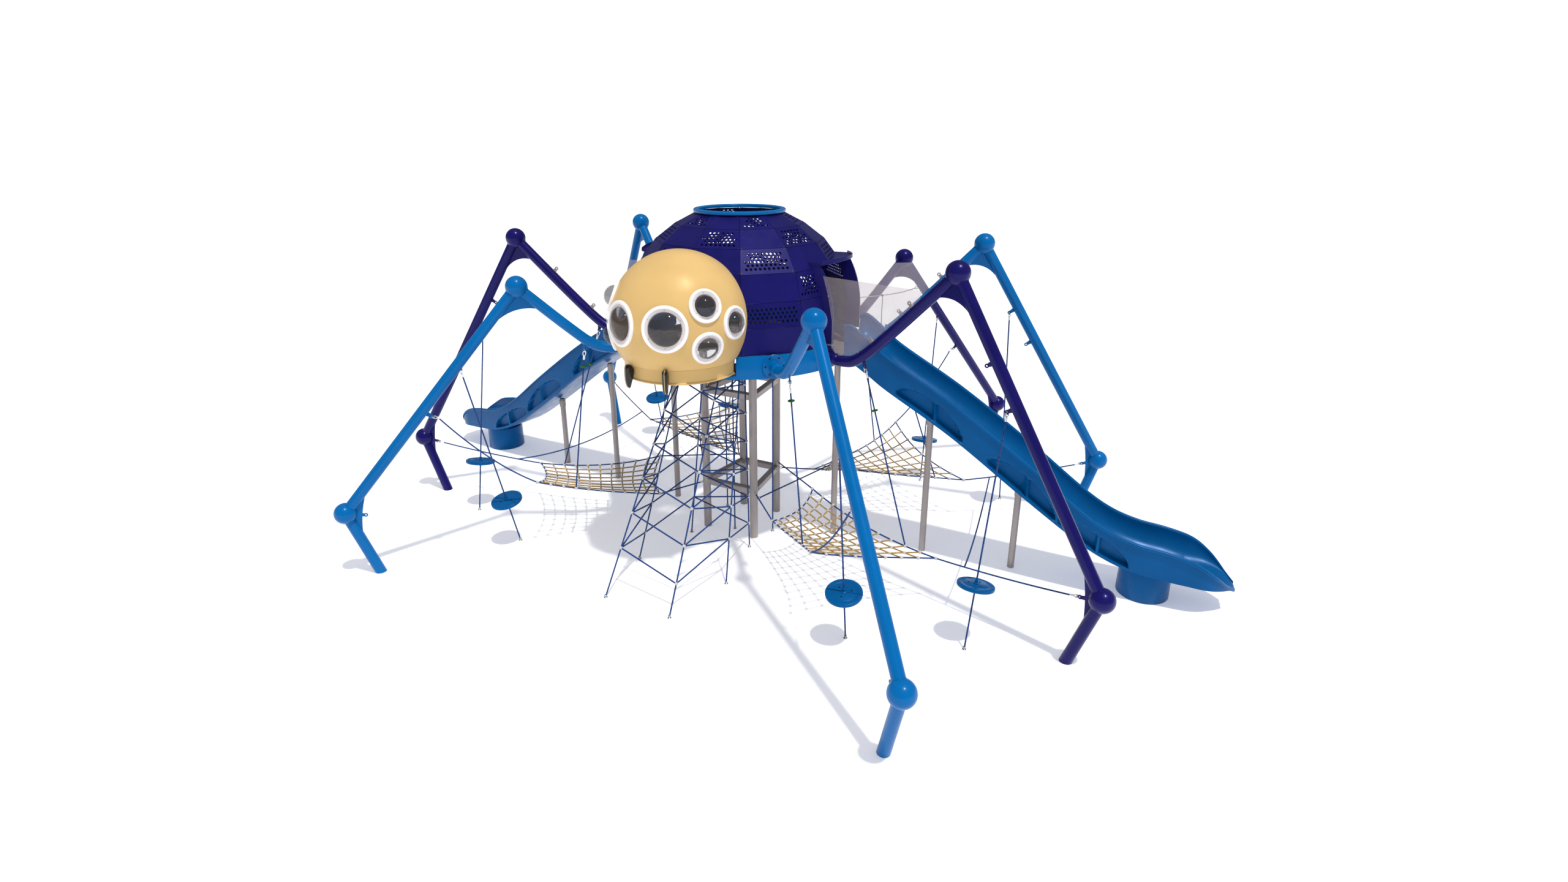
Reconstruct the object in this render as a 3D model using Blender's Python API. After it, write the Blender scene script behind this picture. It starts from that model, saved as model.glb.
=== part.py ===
"""Giant spider climber: a faceted dome body with a bubble head, carried by eight bent tube legs,
with two slides, rope nets, rope steps and a climbing tunnel net.

Metres, +Z up, ground at z = 0, dome axis on the world Z axis, the head looks along -Y.
Angles round the dome are measured from the head (-Y) towards +X, in degrees.
"""

from math import acos, cos, degrees, hypot, pi, radians, sin, sqrt

import bmesh
import bpy
from mathutils import Matrix, Vector

GAP = 0.0003

# Leg tubes, and the leg outline in its own vertical plane as (distance from dome axis, height)
LEG_D = 0.140
BALL_D = 0.280
FLANGE_D = 0.300
FLANGE_T = 0.014
WEB_T = 0.014
FLANGE_Z = 2.865
ANKLE = (5.360, 0.905)
FOOT_R = 5.070
KNEE_LOW = (2.940, 3.735)
KNEE_HIGH = (3.345, 4.144)
LEG_ANGLES = {"1": 45.0, "2": 75.0, "3": 120.0, "4": 150.0}
LOW_LEGS = ("1", "4")
WEB_REACH = 0.42
ANKLE_WEB_REACH = 0.30
LUG_T = 0.012
ARM_LUG_R = 2.13
SHIN_LUG_HEIGHTS = {"low": (2.76, 2.20), "high": (2.78, 3.26)}

# Dome
DOME_R = 1.540
DOME_MID_Z = 3.200
DOME_SIDES = 12
DOME_T = 0.016
# corners of the tiers, foot to top: (distance from axis, height over DOME_MID_Z) per DOME_R
TIER_CORNERS = ((1.0, 0.084), (0.956, 0.278), (0.877, 0.494), (0.742, 0.673), (0.565, 0.807),
                (0.383, 0.901))
WALL_FOOT_Z = 3.000
TOP_RING_W = 0.075
TOP_RING_T = 0.050

# Skirt band and floor
SKIRT_R = 1.547
SKIRT_T = 0.030
SKIRT_LOW_Z = 2.705
FLOOR_T = 0.040
FLOOR_Z = 2.780
HATCH_Y = -0.790
HATCH_R = 0.470
TOWER_HATCH_R = 0.300
TOWER_HATCH_Y = 0.120

# Head
HEAD_R = 0.850
HEAD_T = 0.014
HEAD_MID = (0.0, -1.500, 3.420)
TUB_R = 0.700
TUB_T = 0.012
TUB_LOW_Z = 2.785
HEAD_FOOT_Z = 2.968
# eye: (turn from -Y, tilt up, ring radius, window radius, height of the window's dome)
EYES = {
    "front": (22.5, 4.5, 0.272, 0.196, 0.090),
    "upper": (56.5, 21.5, 0.198, 0.128, 0.105),
    "lower": (56.5, -12.0, 0.198, 0.128, 0.105),
    "side": (84.0, 4.5, 0.198, 0.128, 0.105),
}
WINDOW_EDGE = 0.80
EYE_RING_T = 0.034
EYE_SEAT = 0.004
FANG_ANGLE = 20.0
FANG_LENGTH = 0.270
FANG_WIDTH = 0.115
FANG_T = 0.060

# Doorways and slides
DOOR_ANGLE = 95.4
DOOR_OFFSET = 0.120
DOOR_W = 1.000
DOOR_SHIFT = -0.060
DOOR_TOP_Z = 4.020
DOOR_FRAME_W = 0.045
DOOR_FRAME_T = 0.020
HOOD_REACH = 0.200
SLIDE_W = 0.800
SLIDE_WALL = 0.030
SLIDE_START = 1.575
# along the slide: distance from the dome axis, rim height, underside height
SLIDE_PROFILE = (
    (1.575, 3.240, 2.740),
    (1.690, 3.240, 2.700),
    (1.930, 3.060, 2.545),
    (2.180, 2.860, 2.375),
    (3.040, 2.350, 1.860),
    (3.970, 1.710, 1.200),
    (4.680, 1.180, 0.720),
    (5.060, 0.950, 0.520),
    (5.400, 0.840, 0.415),
    (5.760, 0.790, 0.375),
    (6.060, 0.715, 0.360),
    (6.300, 0.560, 0.345),
    (6.470, 0.400, 0.325),
    (6.560, 0.330, 0.290),
)
SLIDE_BED_DEPTH = 0.340
SLIDE_LIP_DEPTH = 0.020
DRUM_R = 0.350
DRUM_AT = 5.580
SLIDE_POST_D = 0.0889
SLIDE_POSTS_AT = (1.380, 2.700, 3.920)

# Tower
POST_D = 0.1143
TOWER_FRONT = (0.395, -0.390)
TOWER_BACK = (0.290, 0.515)
BEAM_W = 0.090
BEAM_HEIGHTS = (0.740, 2.150)

# Ropes and nets
ROPE_D = 0.020
CLAMP_D = 0.044
NET_T = 0.016
NET_CELLS = (10, 6)
NET_SAG = 0.130
NET_EDGE_PULL = 0.055
# front right net corners: (angle, distance from dome axis, height)
NET_CORNERS = {
    "tower_back": (76.8, 1.315, 0.920),
    "leg_2": (75.4, 3.330, 0.617),
    "leg_1": (45.2, 2.940, 1.018),
    "tower_front": (48.3, 1.247, 0.580),
}
STEP_D = 0.430
STEP_T = 0.048
# rope steps: (foot angle, foot distance), (top angle, top distance, top height), step height
ROPE_STEPS = {
    "1": ((51.0, 3.280), (45.0, 3.722, 2.655), 0.695),
    "2": ((67.0, 4.168), (75.0, 4.072, 2.655), 0.758),
    "3": ((128.0, 4.168), (120.0, 3.790, 3.120), 0.758),
    "4": ((144.0, 3.280), (150.0, 3.722, 2.655), 0.695),
}
TUNNEL_FOOT_Y = -1.690
# right-hand ropes, front to back: (x, y past the middle of the feet or of the hatch)
TUNNEL_FEET = ((0.490, -0.995), (0.700, 0.0), (0.490, 0.995))
TUNNEL_TOPS = ((0.318, -0.310), (0.436, 0.0), (0.318, 0.310))
TUNNEL_TOP_Z = 2.700
TUNNEL_LEVELS = (0.42, 1.04, 1.66, 2.28)
TUNNEL_ZIGZAG = 0.17
CLIMB_ROPES = ((0.020, -0.300), (-0.477, 0.316), (0.559, -0.115))

NAVY = (0.020, 0.012, 0.130)
LIGHT_BLUE = (0.006, 0.140, 0.480)
BEIGE = (0.720, 0.480, 0.180)
GREY = (0.330, 0.300, 0.290)
WHITE = (0.850, 0.850, 0.840)
BLACK = (0.012, 0.011, 0.010)
TAN = (0.520, 0.330, 0.110)
ROPE_BLUE = (0.008, 0.060, 0.260)


# ---------------------------------------------------------------- helpers

def material(name, colour, roughness, metallic=0.0):
    """One Principled material for one object."""
    mat = bpy.data.materials.new(name)
    mat.use_nodes = True
    shader = mat.node_tree.nodes["Principled BSDF"]
    shader.inputs["Base Color"].default_value = (*colour, 1.0)
    shader.inputs["Roughness"].default_value = roughness
    shader.inputs["Metallic"].default_value = metallic
    return mat


def mesh_from(bm, name="piece"):
    """Turn a bmesh into mesh data with outward faces."""
    bmesh.ops.recalc_face_normals(bm, faces=bm.faces)
    mesh = bpy.data.meshes.new(name)
    bm.to_mesh(mesh)
    bm.free()
    return mesh


def add_object(name, mesh, colour, roughness=0.4, metallic=0.0, matrix=None, parent=None):
    """Place mesh data as one named sub-part, shaded smooth across soft edges."""
    mesh = mesh.copy()
    mesh.name = name
    mesh.materials.clear()
    mesh.materials.append(material(name, colour, roughness, metallic))
    mesh.shade_smooth()
    mesh.set_sharp_from_angle(angle=radians(35))
    obj = bpy.data.objects.new(name, mesh)
    bpy.context.scene.collection.objects.link(obj)
    obj.parent = parent
    if matrix is not None:
        obj.matrix_world = matrix
    return obj


def combine(base, others, operation):
    """Boolean of mesh data: union joins the others to the base, difference cuts them off it."""
    result = base
    for other in others:
        body = bpy.data.objects.new("body", result)
        tool = bpy.data.objects.new("tool", other)
        for obj in (body, tool):
            bpy.context.scene.collection.objects.link(obj)
        modifier = body.modifiers.new("cut", "BOOLEAN")
        modifier.operation = operation
        modifier.solver = "EXACT"
        modifier.object = tool
        graph = bpy.context.evaluated_depsgraph_get()
        result = bpy.data.meshes.new_from_object(body.evaluated_get(graph))
        for obj in (body, tool):
            bpy.data.objects.remove(obj)
    return tidy(result)


def tidy(mesh):
    """Merge the slivers that a Boolean leaves."""
    bm = bmesh.new()
    bm.from_mesh(mesh)
    bmesh.ops.remove_doubles(bm, verts=bm.verts, dist=0.00002)
    bmesh.ops.dissolve_degenerate(bm, edges=bm.edges, dist=0.00002)
    return mesh_from(bm)


def polar(angle, distance, height):
    """A point at an angle from the head direction, a distance from the dome axis and a height."""
    turn = radians(angle)
    return Vector((distance * sin(turn), -distance * cos(turn), height))


def loft(rings, closed_ends=True):
    """A closed body through rings of points, each ring with the same count."""
    bm = bmesh.new()
    loops = [[bm.verts.new(p) for p in ring] for ring in rings]
    for low, high in zip(loops, loops[1:]):
        for i in range(len(low)):
            j = (i + 1) % len(low)
            bm.faces.new((low[i], low[j], high[j], high[i]))
    if closed_ends:
        bm.faces.new(loops[0][::-1])
        bm.faces.new(loops[-1])
    return mesh_from(bm)


def tube(points, diameter, sides=10, flat_foot=False):
    """A round bar along points, its frame carried along so that it doesn't twist."""
    points = [Vector(p) for p in points]
    tangents = []
    for i in range(len(points)):
        before = points[max(i - 1, 0)]
        after = points[min(i + 1, len(points) - 1)]
        tangents.append((after - before).normalized())
    side = tangents[0].orthogonal().normalized()
    rings = []
    for point, tangent in zip(points, tangents):
        side = (side - tangent * side.dot(tangent)).normalized()
        up = tangent.cross(side)
        turns = [2 * pi * (k + 0.5) / sides for k in range(sides)]
        rings.append([point + (side * cos(t) + up * sin(t)) * diameter / 2 for t in turns])
    if flat_foot:
        run = tangents[-1]
        rings[-1] = [p - run * ((p.z - points[-1].z) / run.z) for p in rings[-1]]
    return loft(rings)


def ball(centre, diameter, segments=12, rings=6):
    bm = bmesh.new()
    bmesh.ops.create_uvsphere(bm, u_segments=segments, v_segments=rings, radius=diameter / 2)
    bmesh.ops.translate(bm, verts=bm.verts, vec=centre)
    return mesh_from(bm)


def box(low, high):
    bm = bmesh.new()
    size = Vector(high) - Vector(low)
    middle = (Vector(high) + Vector(low)) / 2
    bmesh.ops.create_cube(bm, size=1.0, matrix=Matrix.Translation(middle) @ Matrix.Diagonal((*size, 1)))
    return mesh_from(bm)


def slab(outline, thickness, place=Matrix()):
    """A flat plate: the outline's (x, z) points, thickness centred on y."""
    front = [place @ Vector((x, -thickness / 2, z)) for x, z in outline]
    back = [place @ Vector((x, thickness / 2, z)) for x, z in outline]
    return loft([front, back])


def turned(profile, segments, centre=(0, 0, 0)):
    """A body of revolution about Z from (radius, height) points; a radius of 0 closes it."""
    bm = bmesh.new()
    base = Vector(centre)
    columns = []
    for radius, height in profile:
        if radius < 1e-6:
            columns.append([bm.verts.new(base + Vector((0, 0, height)))])
            continue
        turns = [2 * pi * k / segments for k in range(segments)]
        columns.append([bm.verts.new(base + Vector((radius * cos(t), radius * sin(t), height)))
                        for t in turns])
    closed = len(columns[0]) > 1 and len(columns[-1]) > 1
    pairs = list(zip(columns, columns[1:])) + ([(columns[-1], columns[0])] if closed else [])
    for low, high in pairs:
        for k in range(segments):
            n = (k + 1) % segments
            face = [low[k % len(low)], low[n % len(low)], high[n % len(high)], high[k % len(high)]]
            bm.faces.new(list(dict.fromkeys(face)))
    return mesh_from(bm)


def smooth_path(points, steps):
    """Catmull-Rom curve through points, with a number of steps per stretch."""
    pts = [Vector(p) for p in points]
    pts = [2 * pts[0] - pts[1]] + pts + [2 * pts[-1] - pts[-2]]
    path = []
    for a, b, c, d in zip(pts, pts[1:], pts[2:], pts[3:]):
        for k in range(steps):
            t = k / steps
            path.append(0.5 * (2 * b + (c - a) * t + (2 * a - 5 * b + 4 * c - d) * t ** 2
                               + (3 * b - a - 3 * c + d) * t ** 3))
    return path + [pts[-2]]


def turn_z(angle):
    """Rotation that takes a piece built along +X to an angle measured from the head direction."""
    return Matrix.Rotation(radians(angle - 90), 4, "Z")


def mirror_x(mesh):
    bm = bmesh.new()
    bm.from_mesh(mesh)
    bmesh.ops.scale(bm, vec=(-1, 1, 1), verts=bm.verts)
    return mesh_from(bm)


# ---------------------------------------------------------------- legs

def web(corner, end_a, end_b, reach, depth, clear_b):
    """Web plate between two tubes that meet at a corner, with an arched free edge.

    It starts inside tube a, and stands clear of tube b by clear_b off its centre line.
    """
    a = Vector(end_a) - Vector(corner)
    b = Vector(end_b) - Vector(corner)
    a.normalize()
    b.normalize()
    inward = b - a * a.dot(b)
    lift = (-b.orthogonal()) if b.orthogonal().dot(a) < 0 else b.orthogonal()
    lift.normalize()
    origin = Vector(corner)
    foot_a = origin + a * reach + inward * 0.01
    foot_b = origin + b * reach + lift * clear_b
    start = origin + b * (LEG_D * 0.62) + lift * clear_b
    middle = origin + (a + b).normalized() * depth
    arch = []
    for k in range(1, 8):
        t = k / 8
        arch.append(foot_b * (1 - t) ** 2 + middle * 2 * t * (1 - t) + foot_a * t ** 2)
    outline = [start, foot_b] + arch + [foot_a, origin + a * (LEG_D * 0.62)]
    return slab([(p.x, p.y) for p in outline], WEB_T)


def lug(at, tube_point):
    """Small steel tab that carries a rope eye, from inside a tube out to its eye."""
    at = Vector(at)
    out = (at - Vector(tube_point)).normalized()
    side = Vector((-out.y, out.x))
    root = Vector(tube_point) + out * (LEG_D * 0.40)
    half = 0.022
    outline = [root + side * half, root - side * half, at - side * half, at + out * half * 0.8,
               at + side * half]
    return slab([(p.x, p.y) for p in outline], LUG_T)


def on_line(start, end, height):
    """The point at a height on a line in a leg's plane."""
    t = (height - start[1]) / (end[1] - start[1])
    return (start[0] + (end[0] - start[0]) * t, height)


def leg_meshes(knee, lug_heights):
    """The arm with its flange, knee ball and web, and the shin with its ankle ball and foot."""
    start = SKIRT_R + GAP
    low = (start + 0.25, FLANGE_Z - 0.010)
    bend = (start + 0.50, FLANGE_Z + 0.065)
    rise = (start + 0.50 + (knee[0] - start - 0.50) * 0.33,
            FLANGE_Z + 0.065 + (knee[1] - FLANGE_Z - 0.065) * 0.30)
    path = smooth_path([(start + 0.009, 0, FLANGE_Z), (low[0], 0, low[1]), (bend[0], 0, bend[1]),
                        (rise[0], 0, rise[1]), (knee[0], 0, knee[1])], 2)
    arm = tube(path, LEG_D)
    flange = turned([(0, 0), (FLANGE_D / 2, 0), (FLANGE_D / 2, FLANGE_T), (0, FLANGE_T)], 18)
    flange.transform(Matrix.Translation((start, 0, FLANGE_Z)) @ Matrix.Rotation(pi / 2, 4, "Y"))
    knee_ball = ball((knee[0], 0, knee[1]), BALL_D)
    near_knee = (path[-3].x, path[-3].z)
    knee_web = web(knee, near_knee, ANKLE, WEB_REACH, 0.40, LEG_D / 2 + GAP)
    arm_lug_at = min(path, key=lambda p: abs(p.x - ARM_LUG_R))
    arm_lug = lug((arm_lug_at.x + 0.03, arm_lug_at.z - LEG_D / 2 - 0.060), (arm_lug_at.x, arm_lug_at.z))
    arm = combine(arm, [flange, knee_ball, knee_web, arm_lug], "UNION")

    foot = (FOOT_R, 0.0)
    shin = tube([(knee[0], 0, knee[1]), (ANKLE[0], 0, ANKLE[1])], LEG_D)
    shin = combine(shin, [ball((knee[0], 0, knee[1]), BALL_D + 2 * GAP)], "DIFFERENCE")
    foot_tube = tube([(ANKLE[0], 0, ANKLE[1]), (foot[0], 0, foot[1])], LEG_D, flat_foot=True)
    ankle_ball = ball((ANKLE[0], 0, ANKLE[1]), BALL_D)
    ankle_web = web(ANKLE, knee, foot, ANKLE_WEB_REACH, 0.16, 0.01)
    lugs = []
    for height in lug_heights:
        on_tube = on_line(knee, ANKLE, height)
        run = Vector((ANKLE[0] - knee[0], ANKLE[1] - knee[1])).normalized()
        off = Vector((run.y, -run.x)) * (LEG_D / 2 + 0.060)
        lugs.append(lug((on_tube[0] + off.x, on_tube[1] + off.y), on_tube))
    net_lug = lug((ANKLE[0] - 0.235, ANKLE[1] - 0.055), (ANKLE[0] - 0.03, ANKLE[1] - 0.02))
    shin = combine(shin, [ankle_ball, foot_tube, ankle_web, *lugs, net_lug], "UNION")
    return arm, shin


def build_legs():
    kinds = {"low": leg_meshes(KNEE_LOW, SHIN_LUG_HEIGHTS["low"]),
             "high": leg_meshes(KNEE_HIGH, SHIN_LUG_HEIGHTS["high"])}
    for number, angle in LEG_ANGLES.items():
        arm, shin = kinds["low" if number in LOW_LEGS else "high"]
        colour = LIGHT_BLUE if number in ("1", "3") else NAVY
        for side, sign in (("right", 1), ("left", -1)):
            place = turn_z(sign * angle)
            add_object(f"leg_{side}_{number}_arm", arm, colour, 0.3, matrix=place)
            add_object(f"leg_{side}_{number}_shin", shin, colour, 0.3, matrix=place)


# ---------------------------------------------------------------- dome

def dome_rings(radius):
    """(radius, height) of the faceted dome's corners, from its foot to its top opening."""
    corners = [(radius * across, DOME_MID_Z + radius * up) for across, up in TIER_CORNERS]
    return [(corners[0][0], WALL_FOOT_Z)] + corners


def faceted_solid(rings, open_shell=None):
    """Body of a twelve-sided turned outline; open_shell adds an inner outline as a wall."""
    outline = rings + (open_shell[::-1] if open_shell else [])
    if not open_shell:
        outline = [(0, rings[0][1])] + rings + [(0, rings[-1][1])]
    bm_mesh = turned(outline, DOME_SIDES)
    return bm_mesh


def door_axis(side):
    """Frame of a doorway and its slide: x out along the slide, y across, z up."""
    return Matrix.Translation((0, DOOR_OFFSET, 0)) @ turn_z(side * DOOR_ANGLE)


def door_cutter(side, grow=0.0):
    half = DOOR_W / 2 + grow
    cutter = box((0.9, side * DOOR_SHIFT - half, SKIRT_LOW_Z - 0.2),
                 (2.0, side * DOOR_SHIFT + half, DOOR_TOP_Z + grow))
    cutter.transform(door_axis(side))
    return cutter


def build_dome():
    outer = dome_rings(DOME_R)
    inner = [(r - DOME_T, z) for r, z in outer[:2]] + dome_rings(DOME_R - DOME_T)[2:]
    inner[-1] = (inner[-1][0], outer[-1][1] - 0.004)
    shell = faceted_solid(outer, inner)
    head_hole = ball(HEAD_MID, 2 * (HEAD_R - 0.070), 24, 14)
    shell = combine(shell, [door_cutter(1), door_cutter(-1), head_hole], "DIFFERENCE")
    add_object("dome_shell", shell, NAVY, 0.35)

    top_r, top_z = outer[-1]
    ring = turned([(top_r - 0.020, top_z + GAP), (top_r + 0.030, top_z + GAP),
                   (top_r + 0.030, top_z + TOP_RING_T * 0.6), (top_r, top_z + TOP_RING_T),
                   (top_r + 0.030 - TOP_RING_W, top_z + TOP_RING_T),
                   (top_r + 0.030 - TOP_RING_W, top_z + GAP)], 32)
    add_object("dome_top_ring", ring, LIGHT_BLUE, 0.3)

    top = WALL_FOOT_Z - GAP
    skirt = turned([(SKIRT_R - SKIRT_T, SKIRT_LOW_Z), (SKIRT_R, SKIRT_LOW_Z), (SKIRT_R, top),
                    (SKIRT_R - SKIRT_T, top)], 48)
    doors = []
    for side in (1, -1):
        notch = box((0.9, side * DOOR_SHIFT - DOOR_W / 2, FLOOR_Z),
                    (2.0, side * DOOR_SHIFT + DOOR_W / 2, top + 0.1))
        notch.transform(door_axis(side))
        doors.append(notch)
    tub = turned([(0, TUB_LOW_Z - 0.03), (TUB_R + 0.002, TUB_LOW_Z - 0.03),
                  (TUB_R + 0.002, top + 0.1), (0, top + 0.1)], 32, (HEAD_MID[0], HEAD_MID[1], 0))
    skirt = combine(skirt, doors + [tub], "DIFFERENCE")
    add_object("dome_skirt", skirt, LIGHT_BLUE, 0.3)

    radius = SKIRT_R - SKIRT_T - 0.003
    floor = turned([(0, FLOOR_Z - FLOOR_T), (radius, FLOOR_Z - FLOOR_T), (radius, FLOOR_Z - GAP),
                    (0, FLOOR_Z - GAP)], 36)
    hatches = []
    for y, r in ((HATCH_Y, HATCH_R), (TOWER_HATCH_Y, TOWER_HATCH_R)):
        hatches.append(turned([(0, FLOOR_Z - 0.2), (r, FLOOR_Z - 0.2), (r, FLOOR_Z + 0.2),
                               (0, FLOOR_Z + 0.2)], 24, (0, y, 0)))
    floor = combine(floor, hatches, "DIFFERENCE")
    add_object("dome_floor", floor, GREY, 0.6)


def door_frame_mesh():
    """Flanged frame round a doorway, following the dome's curve, with a hood over its top."""
    out = DOME_R + GAP + 0.004
    half = DOOR_W / 2
    foot_z = FLANGE_Z + FLANGE_D / 2 + 0.006
    heights = [foot_z + (DOOR_TOP_Z - foot_z) * k / 8 for k in range(9)]

    def wall_x(height, across):
        """Distance out to the dome's round envelope at a height, measured along the doorway."""
        rise = max(height - DOME_MID_Z, 0.0)
        level = sqrt(max(out ** 2 - rise ** 2, 0.01))
        return sqrt(max(level ** 2 - (abs(across) + DOOR_FRAME_W) ** 2, 0.01))

    jambs = []
    for sign in (-1, 1):
        rings = []
        for height in heights:
            x = wall_x(height, half)
            y0, y1 = sign * half, sign * (half + DOOR_FRAME_W)
            rings.append([Vector((x + dx, y, height)) for dx, y in
                          ((0, y0), (DOOR_FRAME_T + 0.05, y0), (DOOR_FRAME_T + 0.05, y1), (0, y1))])
        jambs.append(loft(rings))
    top_x = wall_x(DOOR_TOP_Z, half)
    rings = []
    count = 9
    for k in range(count):
        across = -half - DOOR_FRAME_W + (DOOR_W + 2 * DOOR_FRAME_W) * k / (count - 1)
        arch = cos(pi * across / (DOOR_W + 2 * DOOR_FRAME_W))
        z = DOOR_TOP_Z + 0.010 - 0.020 * arch
        reach = top_x + DOOR_FRAME_T + 0.05 + HOOD_REACH * arch
        rings.append([Vector((x, across, z + dz)) for x, dz in
                      ((top_x, -0.02), (reach, -0.02 + 0.05 * arch), (reach, 0.02 + 0.05 * arch),
                       (top_x, 0.03))])
    hood = loft(rings)
    return jambs, hood


def build_doors():
    solid = faceted_solid(dome_rings(DOME_R + GAP))
    for name, side in (("right", 1), ("left", -1)):
        jambs, hood = door_frame_mesh()
        frame = combine(hood, jambs, "UNION")
        frame.transform(door_axis(side) @ Matrix.Translation((0, side * DOOR_SHIFT, 0)))
        frame = combine(frame, [solid.copy()], "DIFFERENCE")
        add_object(f"door_frame_{name}", frame, NAVY, 0.35)


# ---------------------------------------------------------------- head

def eye_place(turn, tilt):
    """Frame on the head's surface: z out along the eye's axis, at the head's outer radius."""
    a, b = radians(turn), radians(tilt)
    out = Vector((sin(a) * cos(b), -cos(a) * cos(b), sin(b)))
    rotation = out.to_track_quat("Z", "Y").to_matrix().to_4x4()
    return Matrix.Translation(Vector(HEAD_MID) + out * HEAD_R) @ rotation


def eye_solid(ring_r, window_r, bulge):
    """White ring with a domed clear window, hollow behind, seated just off the head's round surface."""
    def drop(radius):
        return sqrt((HEAD_R + EYE_SEAT) ** 2 - radius ** 2) - HEAD_R

    inner_r = window_r * WINDOW_EDGE
    face = drop(window_r) + EYE_RING_T
    outer = [(inner_r, drop(inner_r)), (ring_r, drop(ring_r)), (ring_r, drop(ring_r) + EYE_RING_T * 0.7),
             (ring_r - 0.02, drop(ring_r) + EYE_RING_T + 0.008), (window_r + 0.012, face)]
    outer += [(window_r * cos(k / 3 * pi / 2), face + bulge * sin(k / 3 * pi / 2)) for k in range(3)]
    outer.append((0.0, face + bulge))
    inner = [(0.0, drop(inner_r) + bulge + 0.022)]
    inner += [(inner_r * cos(k / 3 * pi / 2), drop(inner_r) + 0.004 + (bulge + 0.018) * sin(k / 3 * pi / 2))
              for k in (2, 1)]
    bm = bmesh.new()
    segments = 18
    rows = []
    for r, z in outer + inner:
        if r == 0.0:
            rows.append([bm.verts.new((0, 0, z))])
        else:
            rows.append([bm.verts.new((r * cos(2 * pi * k / segments), r * sin(2 * pi * k / segments), z))
                         for k in range(segments)])
    order = list(range(len(rows)))
    split = len(outer)
    pairs = [(i, i + 1) for i in order[:split - 1]] + [(i, i + 1) for i in order[split:-1]]
    pairs.append((len(rows) - 1, 0))
    for i, j in pairs:
        low, high = rows[i], rows[j]
        for k in range(segments):
            n = (k + 1) % segments
            face = [low[k % len(low)], low[n % len(low)], high[n % len(high)], high[k % len(high)]]
            bm.faces.new(list(dict.fromkeys(face)))
    return mesh_from(bm)


def fang_mesh():
    """Curved black fang: a hooked outline with a rounded thickness, tip down."""
    outline = [(0.000, 0.10), (0.050, 0.10), (0.060, 0.02), (0.055, -0.08), (0.030, -0.16),
               (0.006, -0.17), (-0.012, -0.12), (-0.045, -0.05), (-0.055, 0.02), (-0.040, 0.08)]
    scale_x = FANG_WIDTH / 0.115
    scale_z = FANG_LENGTH / 0.270
    return slab([(x * scale_x, z * scale_z) for x, z in outline], FANG_T)


def build_head():
    x, y, z = HEAD_MID
    foot = acos((HEAD_FOOT_Z - z) / HEAD_R)
    outer = []
    inner = []
    steps = 10
    for k in range(steps + 1):
        t = foot * (1 - k / steps)
        outer.append((HEAD_R * sin(t), z + HEAD_R * cos(t)))
        inner.append(((HEAD_R - HEAD_T) * sin(t), z + (HEAD_R - HEAD_T) * cos(t)))
    outer[0] = (outer[0][0], HEAD_FOOT_Z)
    inner[0] = (inner[0][0], HEAD_FOOT_Z)
    centre = (x, y, 0)
    shell = combine(turned([(0, outer[0][1] + 0.0)] + outer[:-1] + [(0, outer[-1][1])], 28, centre),
                    [turned([(0, HEAD_FOOT_Z - 0.01), (inner[0][0], HEAD_FOOT_Z - 0.01)] + inner[1:-1]
                            + [(0, inner[-1][1])], 28, centre)], "DIFFERENCE")
    clear = dome_rings(DOME_R + 0.002)
    back = faceted_solid([(clear[0][0], SKIRT_LOW_Z - 0.5)] + clear[1:])
    back_foot = turned([(0, SKIRT_LOW_Z), (SKIRT_R + 0.001, SKIRT_LOW_Z),
                        (SKIRT_R + 0.001, WALL_FOOT_Z + GAP), (0, WALL_FOOT_Z + GAP)], 48)
    windows = []
    for turn, tilt, _ring_r, window_r, _bulge in EYES.values():
        for sign in (1, -1):
            edge = window_r * WINDOW_EDGE
            hole = turned([(0, -0.2), (edge, -0.2), (edge, 0.1), (0, 0.1)], 12)
            hole.transform(eye_place(sign * turn, tilt))
            windows.append(hole)
    shell = combine(shell, [back, back_foot] + windows, "DIFFERENCE")
    add_object("head_shell", shell, BEIGE, 0.35)

    top = HEAD_FOOT_Z - GAP
    tub = turned([(0, TUB_LOW_Z), (TUB_R, TUB_LOW_Z), (TUB_R, top), (TUB_R - TUB_T, top),
                  (TUB_R - TUB_T, TUB_LOW_Z + 0.016), (0, TUB_LOW_Z + 0.016)], 36, centre)
    keep_out = turned([(0, TUB_LOW_Z - 0.5), (SKIRT_R + 0.001, TUB_LOW_Z - 0.5),
                       (SKIRT_R + 0.001, top + 0.5), (0, top + 0.5)], 48)
    tub = combine(tub, [keep_out], "DIFFERENCE")
    add_object("head_tub", tub, BEIGE, 0.35)

    for name, (turn, tilt, ring_r, window_r, bulge) in EYES.items():
        mesh = eye_solid(ring_r, window_r, bulge)
        for side, sign in (("right", 1), ("left", -1)):
            add_object(f"eye_{side}_{name}", mesh, WHITE, 0.25, matrix=eye_place(sign * turn, tilt))
    for side, sign in (("right", 1), ("left", -1)):
        out = polar(sign * FANG_ANGLE, TUB_R + FANG_WIDTH * 0.53 + 0.002, 0)
        place = Matrix.Translation((x + out.x, y + out.y, 2.876)) @ turn_z(sign * FANG_ANGLE)
        add_object(f"fang_{side}", fang_mesh(), BLACK, 0.2, matrix=place)


# ---------------------------------------------------------------- slides

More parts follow.
